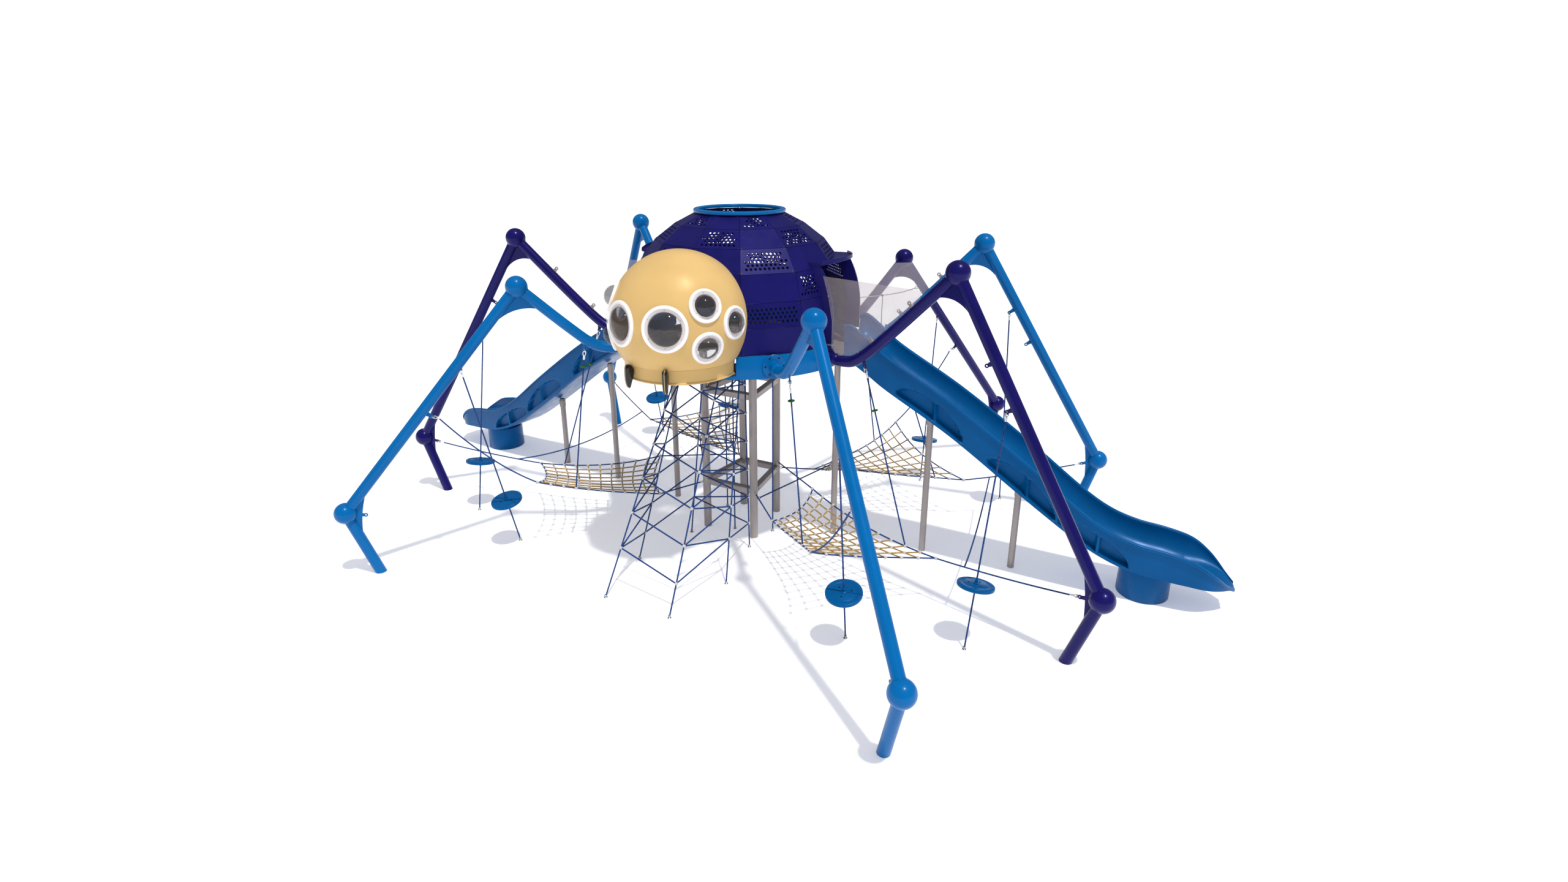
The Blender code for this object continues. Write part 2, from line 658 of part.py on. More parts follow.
def slide_section(at, rim, low, steps=7):
    """Trough section across y: outer walls, rounded rims and a round bed, as one closed ring."""
    half = SLIDE_W / 2
    depth = min(SLIDE_BED_DEPTH, max(rim - low - SLIDE_LIP_DEPTH - 0.012, 0.012))
    bed_half = half - SLIDE_WALL * 1.6
    outer = [(-half, rim - 0.020), (-half + 0.012, rim - (rim - low) * 0.5),
             (-half + 0.030, low + 0.020), (-half + 0.070, low), (half - 0.070, low),
             (half - 0.030, low + 0.020), (half - 0.012, rim - (rim - low) * 0.5),
             (half, rim - 0.020), (half - SLIDE_WALL * 0.6, rim)]
    inner = []
    for k in range(steps):
        t = pi * k / (steps - 1)
        y = bed_half * cos(t)
        inner.append((y, rim - depth * sin(t) ** 0.7))
    ring = outer + inner + [(-half + SLIDE_WALL * 0.6, rim)]
    return [Vector((at, y, z)) for y, z in ring]


def build_slides():
    points = smooth_path([Vector(p) for p in SLIDE_PROFILE], 2)
    rings = [slide_section(p.x, p.y, p.z) for p in points]
    trough = loft(rings)
    drum = turned([(0, 0), (DRUM_R, 0), (DRUM_R * 0.97, 0.40), (0, 0.40)], 32, (DRUM_AT, 0, 0))
    slide = combine(trough, [drum], "UNION")
    for name, side in (("right", 1), ("left", -1)):
        mesh = slide.copy()
        add_object(f"slide_{name}", mesh, LIGHT_BLUE, 0.25, matrix=door_axis(side))
        for number, at in enumerate(SLIDE_POSTS_AT, 1):
            top = slide_underside(points, at) if at > SLIDE_START else SKIRT_LOW_Z
            if at < SKIRT_R - SKIRT_T:
                top = FLOOR_Z - FLOOR_T
            post = tube([(at, 0, 0), (at, 0, top - GAP - SLIDE_POST_D * 0.40)], SLIDE_POST_D, 12)
            add_object(f"slide_{name}_post_{number}", post, GREY, 0.35, 0.6, matrix=door_axis(side))


def slide_underside(points, at):
    for a, b in zip(points, points[1:]):
        if a.x <= at <= b.x:
            return a.z + (b.z - a.z) * (at - a.x) / (b.x - a.x)
    return points[-1].z


# ---------------------------------------------------------------- tower

def build_tower():
    """Four posts under the floor, welded to beams at two levels."""
    corners = [(-TOWER_FRONT[0], TOWER_FRONT[1]), TOWER_FRONT, TOWER_BACK,
               (-TOWER_BACK[0], TOWER_BACK[1])]
    top = FLOOR_Z - FLOOR_T - GAP
    posts = [tube([(x, y, 0), (x, y, top)], POST_D, 16) for x, y in corners]
    beams = []
    for height in BEAM_HEIGHTS:
        for (ax, ay), (bx, by) in zip(corners, corners[1:] + corners[:1]):
            beams.append(beam((ax, ay, height), (bx, by, height)))
    tower = combine(posts[0], [beams[0], posts[1], beams[1], posts[2], beams[2], posts[3], beams[3],
                               *beams[4:]], "UNION")
    add_object("tower_frame", tower, GREY, 0.4, 0.6)


def beam(start, end):
    """Square bar between two points."""
    start, end = Vector(start), Vector(end)
    run = (end - start).normalized()
    side = run.cross(Vector((0, 0, 1))).normalized() * BEAM_W / 2
    up = Vector((0, 0, BEAM_W / 2))
    rings = [[p + side + up, p - side + up, p - side - up, p + side - up] for p in (start, end)]
    return loft(rings)


# ---------------------------------------------------------------- nets and ropes

def net_point(corners, u, v):
    """A point on the sagging net: u runs out along the net, v from back edge to front edge."""
    back_in, back_out, front_out, front_in = corners
    pull = NET_EDGE_PULL
    pu = u + pull * 4 * v * (1 - v) * (1 - 2 * u)
    pv = v + pull * 4 * u * (1 - u) * (1 - 2 * v)
    flat = (back_in * (1 - pu) * (1 - pv) + back_out * pu * (1 - pv)
            + front_out * pu * pv + front_in * (1 - pu) * pv)
    return flat - Vector((0, 0, NET_SAG * 4 * (u * (1 - u) + v * (1 - v)) / 2))


def net_sheet(corners):
    """Thin closed body that follows the net's surface."""
    bm = bmesh.new()
    nu, nv = NET_CELLS
    layers = []
    for offset in (NET_T / 2, -NET_T / 2):
        rows = [[bm.verts.new(net_point(corners, i / nu, j / nv) + Vector((0, 0, offset)))
                 for i in range(nu + 1)] for j in range(nv + 1)]
        layers.append(rows)
    for rows in layers:
        for j in range(nv):
            for i in range(nu):
                bm.faces.new((rows[j][i], rows[j][i + 1], rows[j + 1][i + 1], rows[j + 1][i]))
    upper, lower = layers
    rim = [(0, i) for i in range(nu)] + [(j, nu) for j in range(nv)]
    rim += [(nv, i) for i in range(nu, 0, -1)] + [(j, 0) for j in range(nv, 0, -1)]
    for (j0, i0), (j1, i1) in zip(rim, rim[1:] + rim[:1]):
        bm.faces.new((upper[j0][i0], upper[j1][i1], lower[j1][i1], lower[j0][i0]))
    return mesh_from(bm)


def rope(start, end, sag=0.0, steps=1):
    """Rope between two points; a slack one hangs by its sag at mid-span."""
    start, end = Vector(start), Vector(end)
    path = []
    for k in range(steps + 1):
        t = k / steps
        path.append(start.lerp(end, t) - Vector((0, 0, sag * 4 * t * (1 - t))))
    return tube(path, ROPE_D, 6)


def leg_point(number, along, height):
    return polar(LEG_ANGLES[number], along, height)


def net_corners(front):
    """The four corners of the right-hand front net, or of the back net that mirrors it."""
    points = []
    for angle, distance, height in NET_CORNERS.values():
        turned_angle = angle if front else 2 * (DOOR_ANGLE + 2.1) - angle
        points.append(polar(turned_angle, distance, height))
    return points


def clear_end(start, end, clearance):
    """Stop short of the end point."""
    start, end = Vector(start), Vector(end)
    return end + (start - end).normalized() * clearance


def net_mesh(front):
    low_leg, high_leg = ("1", "2") if front else ("4", "3")
    corners = net_corners(front)
    back_in, back_out, front_out, front_in = corners
    front_post, back_post = Vector((*TOWER_FRONT, 0)), Vector((*TOWER_BACK, 0))
    near_post, far_post = (front_post, back_post) if front else (back_post, front_post)
    high = Vector((0, 0, 0.85 if front else 0.60))
    low = Vector((0, 0, 0.72))
    sunk = 0.02
    ties = [
        rope(inward(corners, 0, sunk), clear_end(back_in, far_post + high, POST_D / 2 + 0.012)),
        rope(inward(corners, 3, sunk), clear_end(front_in, near_post + low, POST_D / 2 + 0.012)),
        rope(inward(corners, 1, sunk), leg_point(high_leg, ANKLE[0] - 0.290, ANKLE[1] - 0.070)),
        rope(inward(corners, 2, sunk), leg_point(low_leg, 4.075, 2.093), 0.10, 6),
        rope(net_point(corners, 0.75, 0), leg_point(high_leg, ARM_LUG_R + 0.03, 2.740)),
        rope(net_point(corners, 0.72, 1), leg_point(low_leg, ARM_LUG_R + 0.03, 2.740)),
    ]
    return combine(net_sheet(corners), ties, "UNION")


def inward(corners, index, step):
    """A point just inside the net from one of its corners."""
    u, v = ((0, 0), (1, 0), (1, 1), (0, 1))[index]
    near_u = u + (step if u == 0 else -step)
    near_v = v + (step if v == 0 else -step)
    return net_point(corners, near_u, near_v)


def build_nets():
    for place, front in (("front", True), ("back", False)):
        mesh = net_mesh(front)
        add_object(f"net_{place}_right", mesh, TAN, 0.8)
        add_object(f"net_{place}_left", mirror_x(mesh), TAN, 0.8)


def tunnel_rope(index):
    """Foot and top of one of the six main ropes of the climbing tunnel, in order round it."""
    row = index if index < 3 else 5 - index
    side = 1 if index < 3 else -1
    foot_x, foot_y = TUNNEL_FEET[row]
    top_x, top_y = TUNNEL_TOPS[row]
    foot = Vector((side * foot_x, TUNNEL_FOOT_Y + foot_y, 0.008))
    return foot, Vector((side * top_x, HATCH_Y + top_y, TUNNEL_TOP_Z))


def build_tunnel():
    """Six leaning ropes, laced round by ropes that step up and down between them."""
    ropes = [tunnel_rope(i) for i in range(6)]

    def at(index, height):
        foot, top = ropes[index % 6]
        return foot.lerp(top, (height - foot.z) / (top.z - foot.z))

    pieces = []
    for i, (foot, top) in enumerate(ropes):
        levels = [level + (0 if i % 2 == 0 else TUNNEL_ZIGZAG) for level in TUNNEL_LEVELS]
        clamps = [ball(at(i, level), CLAMP_D, 6, 3) for level in levels]
        pieces.append(combine(rope(foot, top), clamps, "UNION"))
    for level in TUNNEL_LEVELS:
        for i in range(6):
            low, high = (level, level + TUNNEL_ZIGZAG)[::1 if i % 2 == 0 else -1]
            pieces.append(rope(at(i, low), at(i + 1, high)))
    net = combine(pieces[0], pieces[1:], "UNION")
    add_object("tunnel_net", net, ROPE_BLUE, 0.7)


def rope_step_mesh(length, step_at):
    """Rope with a round step clamped on it, about +Z from its foot; top end carries a ferrule."""
    r = ROPE_D / 2
    half = STEP_T / 2
    edge = 0.012
    return turned([
        (0, 0), (r, 0), (r, step_at - half - 0.03), (0.030, step_at - half - 0.03),
        (0.030, step_at - half), (STEP_D / 2 - edge, step_at - half),
        (STEP_D / 2, step_at - half + edge), (STEP_D / 2, step_at + half - edge),
        (STEP_D / 2 - edge, step_at + half), (r, step_at + half), (r, length - 0.08),
        (0.014, length - 0.08), (0.014, length), (0, length)], 14)


def build_rope_steps():
    for number, (foot_at, top_at, step_z) in ROPE_STEPS.items():
        for side, sign in (("right", 1), ("left", -1)):
            foot = polar(sign * foot_at[0], foot_at[1], 0.006)
            top = polar(sign * top_at[0], top_at[1], top_at[2])
            run = top - foot
            mesh = rope_step_mesh(run.length, run.length * (step_z - foot.z) / run.z)
            axis = bpy.data.objects.new(f"step_axis_{side}_{number}", None)
            bpy.context.scene.collection.objects.link(axis)
            axis.matrix_world = Matrix.Translation(foot) @ run.to_track_quat("Z", "Y").to_matrix().to_4x4()
            add_object(f"rope_step_{side}_{number}", mesh, LIGHT_BLUE, 0.3,
                       matrix=axis.matrix_world, parent=axis)


def build_climb_ropes():
    for number, (x, y) in enumerate(CLIMB_ROPES, 1):
        mesh = tube([(x, y, 0.004), (x, y, FLOOR_Z - FLOOR_T - GAP)], ROPE_D, 8)
        add_object(f"climb_rope_{number}", mesh, ROPE_BLUE, 0.7)


def centre_footprint():
    """Bring the origin under the middle of the whole climber, from the dome's axis."""
    bpy.context.view_layer.update()
    reach = [(obj.matrix_world @ v.co).y for obj in bpy.data.objects if obj.type == "MESH"
             for v in obj.data.vertices]
    shift = Matrix.Translation((0, -(min(reach) + max(reach)) / 2, 0))
    for obj in bpy.data.objects:
        if obj.parent is None:
            obj.matrix_world = shift @ obj.matrix_world


def main():
    for obj in list(bpy.data.objects):
        bpy.data.objects.remove(obj, do_unlink=True)
    build_legs()
    build_dome()
    build_doors()
    build_head()
    build_slides()
    build_tower()
    build_nets()
    build_tunnel()
    build_rope_steps()
    build_climb_ropes()
    centre_footprint()


main()
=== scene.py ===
from math import asin, ceil, cos, hypot, pi, radians, sin, sqrt

import bmesh
import bpy
from mathutils import Matrix, Vector
from mathutils.geometry import delaunay_2d_cdt


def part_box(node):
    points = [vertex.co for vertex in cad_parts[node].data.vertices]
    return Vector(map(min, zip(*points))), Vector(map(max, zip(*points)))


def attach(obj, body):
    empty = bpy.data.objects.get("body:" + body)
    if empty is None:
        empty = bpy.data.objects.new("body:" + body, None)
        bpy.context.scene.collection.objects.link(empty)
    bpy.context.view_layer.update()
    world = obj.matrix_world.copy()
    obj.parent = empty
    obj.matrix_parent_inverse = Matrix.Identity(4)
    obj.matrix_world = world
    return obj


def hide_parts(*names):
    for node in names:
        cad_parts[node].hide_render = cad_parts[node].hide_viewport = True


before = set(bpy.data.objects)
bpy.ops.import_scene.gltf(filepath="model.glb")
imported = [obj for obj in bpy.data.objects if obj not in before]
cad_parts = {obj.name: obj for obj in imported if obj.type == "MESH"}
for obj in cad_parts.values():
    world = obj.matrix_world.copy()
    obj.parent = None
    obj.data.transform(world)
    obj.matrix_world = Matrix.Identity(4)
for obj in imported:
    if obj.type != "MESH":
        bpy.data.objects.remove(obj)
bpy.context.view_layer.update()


def node_middle(name):
    low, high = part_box(name)
    return (low + high) / 2


# The dome's axis: every shape below is described round it, then moved there
AXIS = Matrix.Translation((0, node_middle("dome_top_ring").y, 0))

SIDES = (("right", 1), ("left", -1))
QUARTER_X = Matrix.Rotation(pi / 2, 4, "X")
GAP = 0.0003
LEG_D = 0.140
BALL_D = 0.280
FLANGE_D = 0.300
FLANGE_T = 0.014
WEB_T = 0.014
FLANGE_Z = 2.865
ANKLE = (5.360, 0.905)
FOOT_R = 5.070
KNEES = {"low": (2.940, 3.735), "high": (3.345, 4.144)}
LEG_ANGLES = {"1": 45.0, "2": 75.0, "3": 120.0, "4": 150.0}
LOW_LEGS = ("1", "4")
WEB_REACH, WEB_DEPTH = 0.47, 0.21
ANKLE_WEB_REACH, ANKLE_WEB_DEPTH = 0.50, 0.15
NET_LUG = (ANKLE[0] - 0.235, ANKLE[1] - 0.055)
SHIN_TIE_TO = (4.075, 2.093)
ARM_LUG_R = 2.13
UPPER_LUGS = (0.66, 0.86)
UPPER_LUG_H = LEG_D / 2 + 0.055
SHIN_LUG_HEIGHTS = {"low": (2.76, 2.20), "high": (2.78, 3.26)}
DOME_R = 1.540
DOME_MID_Z = 3.200
TIER_CORNERS = ((1.0, 0.084), (0.956, 0.278), (0.877, 0.494), (0.742, 0.673), (0.565, 0.807),
                (0.383, 0.901))
WALL_FOOT_Z = 3.000
SKIRT_R = 1.547
SKIRT_LOW_Z = 2.705
FLOOR_Z = 2.780
FLOOR_T = 0.040
HATCH_Y, HATCH_R = -0.790, 0.470
TOWER_HATCH_Y, TOWER_HATCH_R = 0.120, 0.300
HEAD_R = 0.850
HEAD_MID = Vector((0.0, -1.500, 3.420))
TUB_R = 0.700
TUB_LOW_Z = 2.785
HEAD_FOOT_Z = 2.968
EYES = {
    "front": (22.5, 4.5, 0.272, 0.198, 0.46),
    "upper": (56.5, 21.5, 0.198, 0.128, 0.82),
    "lower": (56.5, -12.0, 0.198, 0.128, 0.82),
    "side": (84.0, 4.5, 0.198, 0.128, 0.82),
}
DOOR_ANGLE = 95.4
DOOR_OFFSET = 0.120
DOOR_W = 1.000
DOOR_SHIFT = -0.060
DOOR_TOP_Z = 4.020
SCREEN_TOP_Z = 3.890
SLIDE_W = 0.800
SLIDE_PROFILE = (
    (1.575, 3.240, 2.740), (1.690, 3.240, 2.700), (1.930, 3.060, 2.545), (2.180, 2.860, 2.375),
    (3.040, 2.350, 1.860), (3.970, 1.710, 1.200), (4.680, 1.180, 0.720), (5.060, 0.950, 0.520),
    (5.400, 0.840, 0.415), (5.760, 0.790, 0.375), (6.060, 0.715, 0.360), (6.300, 0.560, 0.345),
    (6.470, 0.400, 0.325), (6.560, 0.330, 0.290),
)
SLIDE_JOINTS = (2.80, 4.03, 4.95)
EXIT_STARTS, EXIT_NARROWS = 6.08, 0.290
SLIDE_POSTS_AT = (1.380, 2.700, 3.920)
SLIDE_POST_D = 0.0889
DRUM_R, DRUM_AT = 0.315, 5.560
POST_D = 0.1143
TOWER_FRONT = (0.395, -0.390)
TOWER_BACK = (0.290, 0.515)
BEAM_W = 0.090
BEAM_HEIGHTS = (0.740, 2.150)
ROPE_D = 0.020
ROPE_HOLE_R = 0.0105
ROPE_START = 0.064
HANGER_START = 0.098
NET_CELLS = (10, 8)
NET_MIRROR_ANGLE = DOOR_ANGLE + 2.1
NET_SAG = 0.130
JOIN_SHARE = 0.77
UNDER_SLIDE_SAG = 0.16
NET_EDGE_PULL = 0.055
NET_CORNERS = ((76.8, 1.315, 0.920), (75.4, 3.330, 0.617), (45.2, 2.940, 1.018), (48.3, 1.247, 0.580))
STEP_D = 0.430
STEP_T = 0.048
ROPE_STEPS = {
    "1": ((51.0, 3.280), (45.0, 3.722, 2.655), 0.695),
    "2": ((67.0, 4.168), (75.0, 4.072, 2.655), 0.758),
    "3": ((128.0, 4.168), (120.0, 3.790, 3.120), 0.758),
    "4": ((144.0, 3.280), (150.0, 3.722, 2.655), 0.695),
}
TUNNEL_FOOT_Y = -1.690
TUNNEL_FEET = ((0.490, -0.995), (0.700, 0.0), (0.490, 0.995))
TUNNEL_TOPS = ((0.318, -0.310), (0.436, 0.0), (0.318, 0.310))
TUNNEL_TOP_Z = 2.700
TUNNEL_LEVELS = (0.36, 0.76, 1.16, 1.56, 1.96, 2.36)
TUNNEL_ZIGZAG = 0.20
CLIMB_ROPES = ((0.020, -0.300), (-0.477, 0.316), (0.559, -0.115))
CAMERA_AT = (5.49614, -9.47748, 5.59702)
CAMERA_TURN, CAMERA_TILT = 27.7567, 19.5772
CAMERA_LENS = 18.3245
CAMERA_SHIFT = (0.00681, -0.01676)
SUN_FROM = (0.335, -0.165, 1.0)
SUN_STRENGTH = 2.8
FILL_STRENGTH, GLOSS_STRENGTH, BACKDROP_STRENGTH = 0.58, 0.16, 1.6


# ---------------------------------------------------------------- materials

M = {}


def start_material(name):
    """A new material, kept in M by its name; returns its tree and its shader."""
    mat = bpy.data.materials.new(name)
    mat.use_nodes = True
    M[name] = mat
    return mat.node_tree, mat.node_tree.nodes["Principled BSDF"]


def add_node(tree, kind, **settings):
    node = tree.nodes.new("ShaderNode" + kind)
    for key, value in settings.items():
        if hasattr(node, key):
            setattr(node, key, value)
        else:
            node.inputs[key].default_value = value
    return node


def noise_at(tree, scale, detail=4.0, where=None):
    if where is None:
        where = add_node(tree, "TexCoord").outputs["Object"]
    noise = add_node(tree, "TexNoise")
    noise.inputs["Scale"].default_value = scale
    noise.inputs["Detail"].default_value = detail
    tree.links.new(where, noise.inputs["Vector"])
    return noise.outputs["Fac"]


def remap(tree, value, low, high, from_low=0.3, from_high=0.7):
    node = add_node(tree, "MapRange")
    for name, number in (("From Min", from_low), ("From Max", from_high), ("To Min", low),
                         ("To Max", high)):
        node.inputs[name].default_value = number
    tree.links.new(value, node.inputs["Value"])
    return node.outputs["Result"]


def two_tone(tree, value, dark, light):
    mix = add_node(tree, "Mix", data_type="RGBA")
    mix.inputs[6].default_value = (*dark, 1)
    mix.inputs[7].default_value = (*light, 1)
    tree.links.new(value, mix.inputs[0])
    return mix.outputs[2]


def bump(tree, shader, height, distance, strength=1.0):
    node = add_node(tree, "Bump")
    node.inputs["Strength"].default_value = strength
    node.inputs["Distance"].default_value = distance
    tree.links.new(height, node.inputs["Height"])
    tree.links.new(node.outputs["Normal"], shader.inputs["Normal"])


def surface(name, colour, roughness, grain=180, depth=0.0004, mottle=0.10, metallic=0.0, coat=0.0,
            specular=0.22):
    """A coated or moulded surface: faint cloudy colour, uneven gloss and a fine grain."""
    tree, shader = start_material(name)
    cloud = remap(tree, noise_at(tree, 1.7, 5.0), 0.0, 1.0)
    dark = [c * (1 - mottle) for c in colour]
    light = [min(1.0, c * (1 + mottle)) for c in colour]
    tree.links.new(two_tone(tree, cloud, dark, light), shader.inputs["Base Color"])
    gloss = remap(tree, noise_at(tree, 6.0, 6.0), roughness * 0.85, roughness * 1.2)
    tree.links.new(gloss, shader.inputs["Roughness"])
    bump(tree, shader, noise_at(tree, grain, 2.0), depth, 0.35)
    shader.inputs["Metallic"].default_value = metallic
    shader.inputs["Specular IOR Level"].default_value = specular
    if metallic == 0.0:
        shader.inputs["Specular Tint"].default_value = (*[0.35 + 0.65 * c / max(colour) for c in colour], 1)
    shader.inputs["Coat Weight"].default_value = coat
    shader.inputs["Coat Roughness"].default_value = 0.12


def rope_surface(name, colour, fleck, share):
    """Laid rope: strands that wind along it, painted darker in the grooves and lighter on the crowns as
    painted shade, with darker flecks in the yarn.
    """
    tree, shader = start_material(name)
    uv = add_node(tree, "UVMap").outputs["UV"]
    split = add_node(tree, "SeparateXYZ")
    tree.links.new(uv, split.inputs[0])

    def math(operation, a, b):
        node = add_node(tree, "Math", operation=operation)
        for socket, value in zip(node.inputs, (a, b)):
            if isinstance(value, (int, float)):
                socket.default_value = value
            else:
                tree.links.new(value, socket)
        return node.outputs[0]

    turns = math("ADD", math("MULTIPLY", split.outputs[0], 18.0), split.outputs[1])
    wave = math("SINE", math("MULTIPLY", turns, 2 * pi * 3), 0.0)
    lay = remap(tree, wave, 0.0, 1.0, -1.0, 1.0)
    squeeze = add_node(tree, "Mapping")
    squeeze.inputs["Scale"].default_value = (60, 3, 1)
    tree.links.new(uv, squeeze.inputs["Vector"])
    spots = remap(tree, noise_at(tree, 1.0, 1.0, squeeze.outputs[0]), 1.0, 0.0, share - 0.02, share + 0.02)
    # painted shade: the strand pattern darkens the colour in the grooves between strands and lightens it on
    # their crowns
    base = two_tone(tree, lay, [c * 0.62 for c in colour], [min(1, c * 1.2) for c in colour])
    mix = add_node(tree, "Mix", data_type="RGBA")
    tree.links.new(base, mix.inputs[6])
    mix.inputs[7].default_value = (*fleck, 1)
    tree.links.new(spots, mix.inputs[0])
    tree.links.new(mix.outputs[2], shader.inputs["Base Color"])
    tree.links.new(remap(tree, lay, 0.9, 0.62, 0.0, 1.0), shader.inputs["Roughness"])
    bump(tree, shader, lay, 0.0015, 0.7)


def clear_surface(name, colour, alpha, roughness=0.05):
    tree, shader = start_material(name)
    haze = remap(tree, noise_at(tree, 3.0, 4.0), 0.0, 1.0)
    tree.links.new(two_tone(tree, haze, [c * 0.8 for c in colour], colour), shader.inputs["Base Color"])
    tree.links.new(remap(tree, noise_at(tree, 14.0), roughness, roughness * 2.5), shader.inputs["Roughness"])
    shader.inputs["Alpha"].default_value = alpha
    shader.inputs["Coat Weight"].default_value = 0.6
    shader.inputs["Coat Roughness"].default_value = 0.03


BLUE = (0.000, 0.118, 0.360)
NAVY = (0.008, 0.006, 0.095)
surface("blue_paint", BLUE, 0.30, 260, 0.0003, 0.08, coat=0.10)
surface("navy_paint", NAVY, 0.28, 260, 0.0003, 0.12, coat=0.12)
surface("navy_panel", (0.008, 0.007, 0.100), 0.34, 140, 0.0005, 0.16)
surface("blue_plastic", (0.000, 0.080, 0.250), 0.30, 90, 0.0005, 0.10)
surface("beige_plastic", (0.640, 0.430, 0.170), 0.36, 70, 0.0006, 0.06)
surface("beige_edge", (0.800, 0.600, 0.240), 0.40, 70, 0.0006, 0.06)
surface("white_plastic", (0.900, 0.890, 0.890), 0.32, 120, 0.0003, 0.03)
surface("pale_band", (0.680, 0.630, 0.640), 0.35, 120, 0.0003, 0.04)
surface("black_gloss", (0.010, 0.008, 0.007), 0.16, 60, 0.0003, 0.4, coat=0.5)
surface("bolt_steel", (0.300, 0.300, 0.310), 0.30, 300, 0.0002, 0.15, metallic=0.9)
surface("dark_bolt", (0.030, 0.028, 0.028), 0.35, 300, 0.0002, 0.2, metallic=0.6)
surface("bright_steel", (0.620, 0.620, 0.640), 0.18, 300, 0.0002, 0.12, metallic=1.0)
surface("post_grey", (0.330, 0.295, 0.285), 0.34, 200, 0.0003, 0.07, metallic=0.35)
surface("deck_grey", (0.200, 0.185, 0.180), 0.60, 90, 0.0008, 0.12)
surface("clamp_grey", (0.520, 0.500, 0.490), 0.40, 150, 0.0003, 0.06)
surface("ferrule_white", (0.800, 0.800, 0.810), 0.30, 150, 0.0003, 0.05)
surface("green_bead", (0.010, 0.075, 0.014), 0.30, 150, 0.0003, 0.15)
rope_surface("blue_rope", (0.001, 0.048, 0.230), (0.002, 0.003, 0.012), 0.40)
rope_surface("tan_rope", (0.400, 0.250, 0.075), (0.070, 0.045, 0.018), 0.36)
clear_surface("lens", (0.085, 0.080, 0.080), 0.30)
clear_surface("clear_panel", (0.600, 0.530, 0.560), 0.22, 0.20)


# ---------------------------------------------------------------- shapes

class Shape:
    """Geometry of one piece: points, faces, and each face's material and UVs."""

    def __init__(self):
        self.points, self.faces, self.mats, self.uvs = [], [], [], []

    def add(self, part, mat, place=None):
        points, faces, uvs = part
        base = len(self.points)
        self.points += [place @ Vector(p) for p in points] if place is not None else list(points)
        for i, face in enumerate(faces):
            self.faces.append([base + k for k in face])
            self.mats.append(mat)
            self.uvs.append(uvs[i] if uvs else [(0.0, 0.0)] * len(face))
        return self

    def mesh(self, name, sharp=35):
        names = list(dict.fromkeys(self.mats))
        data = bpy.data.meshes.new(name)
        data.from_pydata([tuple(p) for p in self.points], [], self.faces)
        layer = data.uv_layers.new(name="UVMap")
        layer.data.foreach_set("uv", [c for face in self.uvs for uv in face for c in uv])
        for material_name in names:
            data.materials.append(M[material_name])
        data.polygons.foreach_set("material_index", [names.index(m) for m in self.mats])
        bm = bmesh.new()
        bm.from_mesh(data)
        bmesh.ops.recalc_face_normals(bm, faces=bm.faces)
        bm.to_mesh(data)
        bm.free()
        data.shade_smooth()
        data.set_sharp_from_angle(angle=radians(sharp))
        return data


def put(name, data, replaces=(), body="root", place=None):
    """Link a piece into the scene round the dome's axis, on its CAD body."""
    obj = bpy.data.objects.new(name, data)
    bpy.context.scene.collection.objects.link(obj)
    obj.matrix_world = AXIS @ (place or Matrix())
    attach(obj, body)
    if replaces:
        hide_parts(*replaces)
    return obj


def circle(radius, count, x=0.0, y=0.0):
    """Points of a circle in its own plane."""
    turns = [2 * pi * k / count for k in range(count)]
    return [Vector((x + radius * cos(t), y + radius * sin(t))) for t in turns]


def polar(angle, distance, height):
    turn = radians(angle)
    return Vector((distance * sin(turn), -distance * cos(turn), height))


def turn_z(angle):
    return Matrix.Rotation(radians(angle - 90), 4, "Z")


def along(direction, at=(0, 0, 0)):
    """Frame at a point with its z along a direction."""
    return Matrix.Translation(at) @ Vector(direction).to_track_quat("Z", "Y").to_matrix().to_4x4()


def smooth_path(points, steps):
    pts = [Vector(p) for p in points]
    pts = [2 * pts[0] - pts[1]] + pts + [2 * pts[-1] - pts[-2]]
    path = []
    for a, b, c, d in zip(pts, pts[1:], pts[2:], pts[3:]):
        for k in range(steps):
            t = k / steps
            path.append(0.5 * (2 * b + (c - a) * t + (2 * a - 5 * b + 4 * c - d) * t ** 2
                               + (3 * b - a - 3 * c + d) * t ** 3))
    return path + [pts[-2]]


def sweep(points, radius, sides=16, flat_foot=False):
    """A round bar along points; u runs along it in metres and v round it."""
    points = [Vector(p) for p in points]
    count = len(points)
    radii = radius if hasattr(radius, "__len__") else [radius] * count
    tangents = [(points[min(i + 1, count - 1)] - points[max(i - 1, 0)]).normalized() for i in range(count)]
    side = tangents[0].orthogonal().normalized()
    verts, faces, uvs, run = [], [], [], [0.0]
    for a, b in zip(points, points[1:]):
        run.append(run[-1] + (b - a).length)
    for i, (point, tangent) in enumerate(zip(points, tangents)):
        side = (side - tangent * side.dot(tangent)).normalized()
        up = tangent.cross(side)
        ring = [point + (side * cos(2 * pi * k / sides) + up * sin(2 * pi * k / sides)) * radii[i]
                for k in range(sides)]
        if flat_foot and i == count - 1:
            ring = [p - tangent * ((p.z - point.z) / tangent.z) for p in ring]
        verts += ring
    for i in range(count - 1):
        for k in range(sides):
            n = (k + 1) % sides
            faces.append((i * sides + k, i * sides + n, (i + 1) * sides + n, (i + 1) * sides + k))
            v0, v1 = k / sides, (k + 1) / sides
            uvs.append([(run[i], v0), (run[i], v1), (run[i + 1], v1), (run[i + 1], v0)])
    for ring in (range(sides), range((count - 1) * sides, count * sides)):
        faces.append(tuple(ring))
        uvs.append([(0.0, 0.0)] * sides)
    return verts, faces, uvs


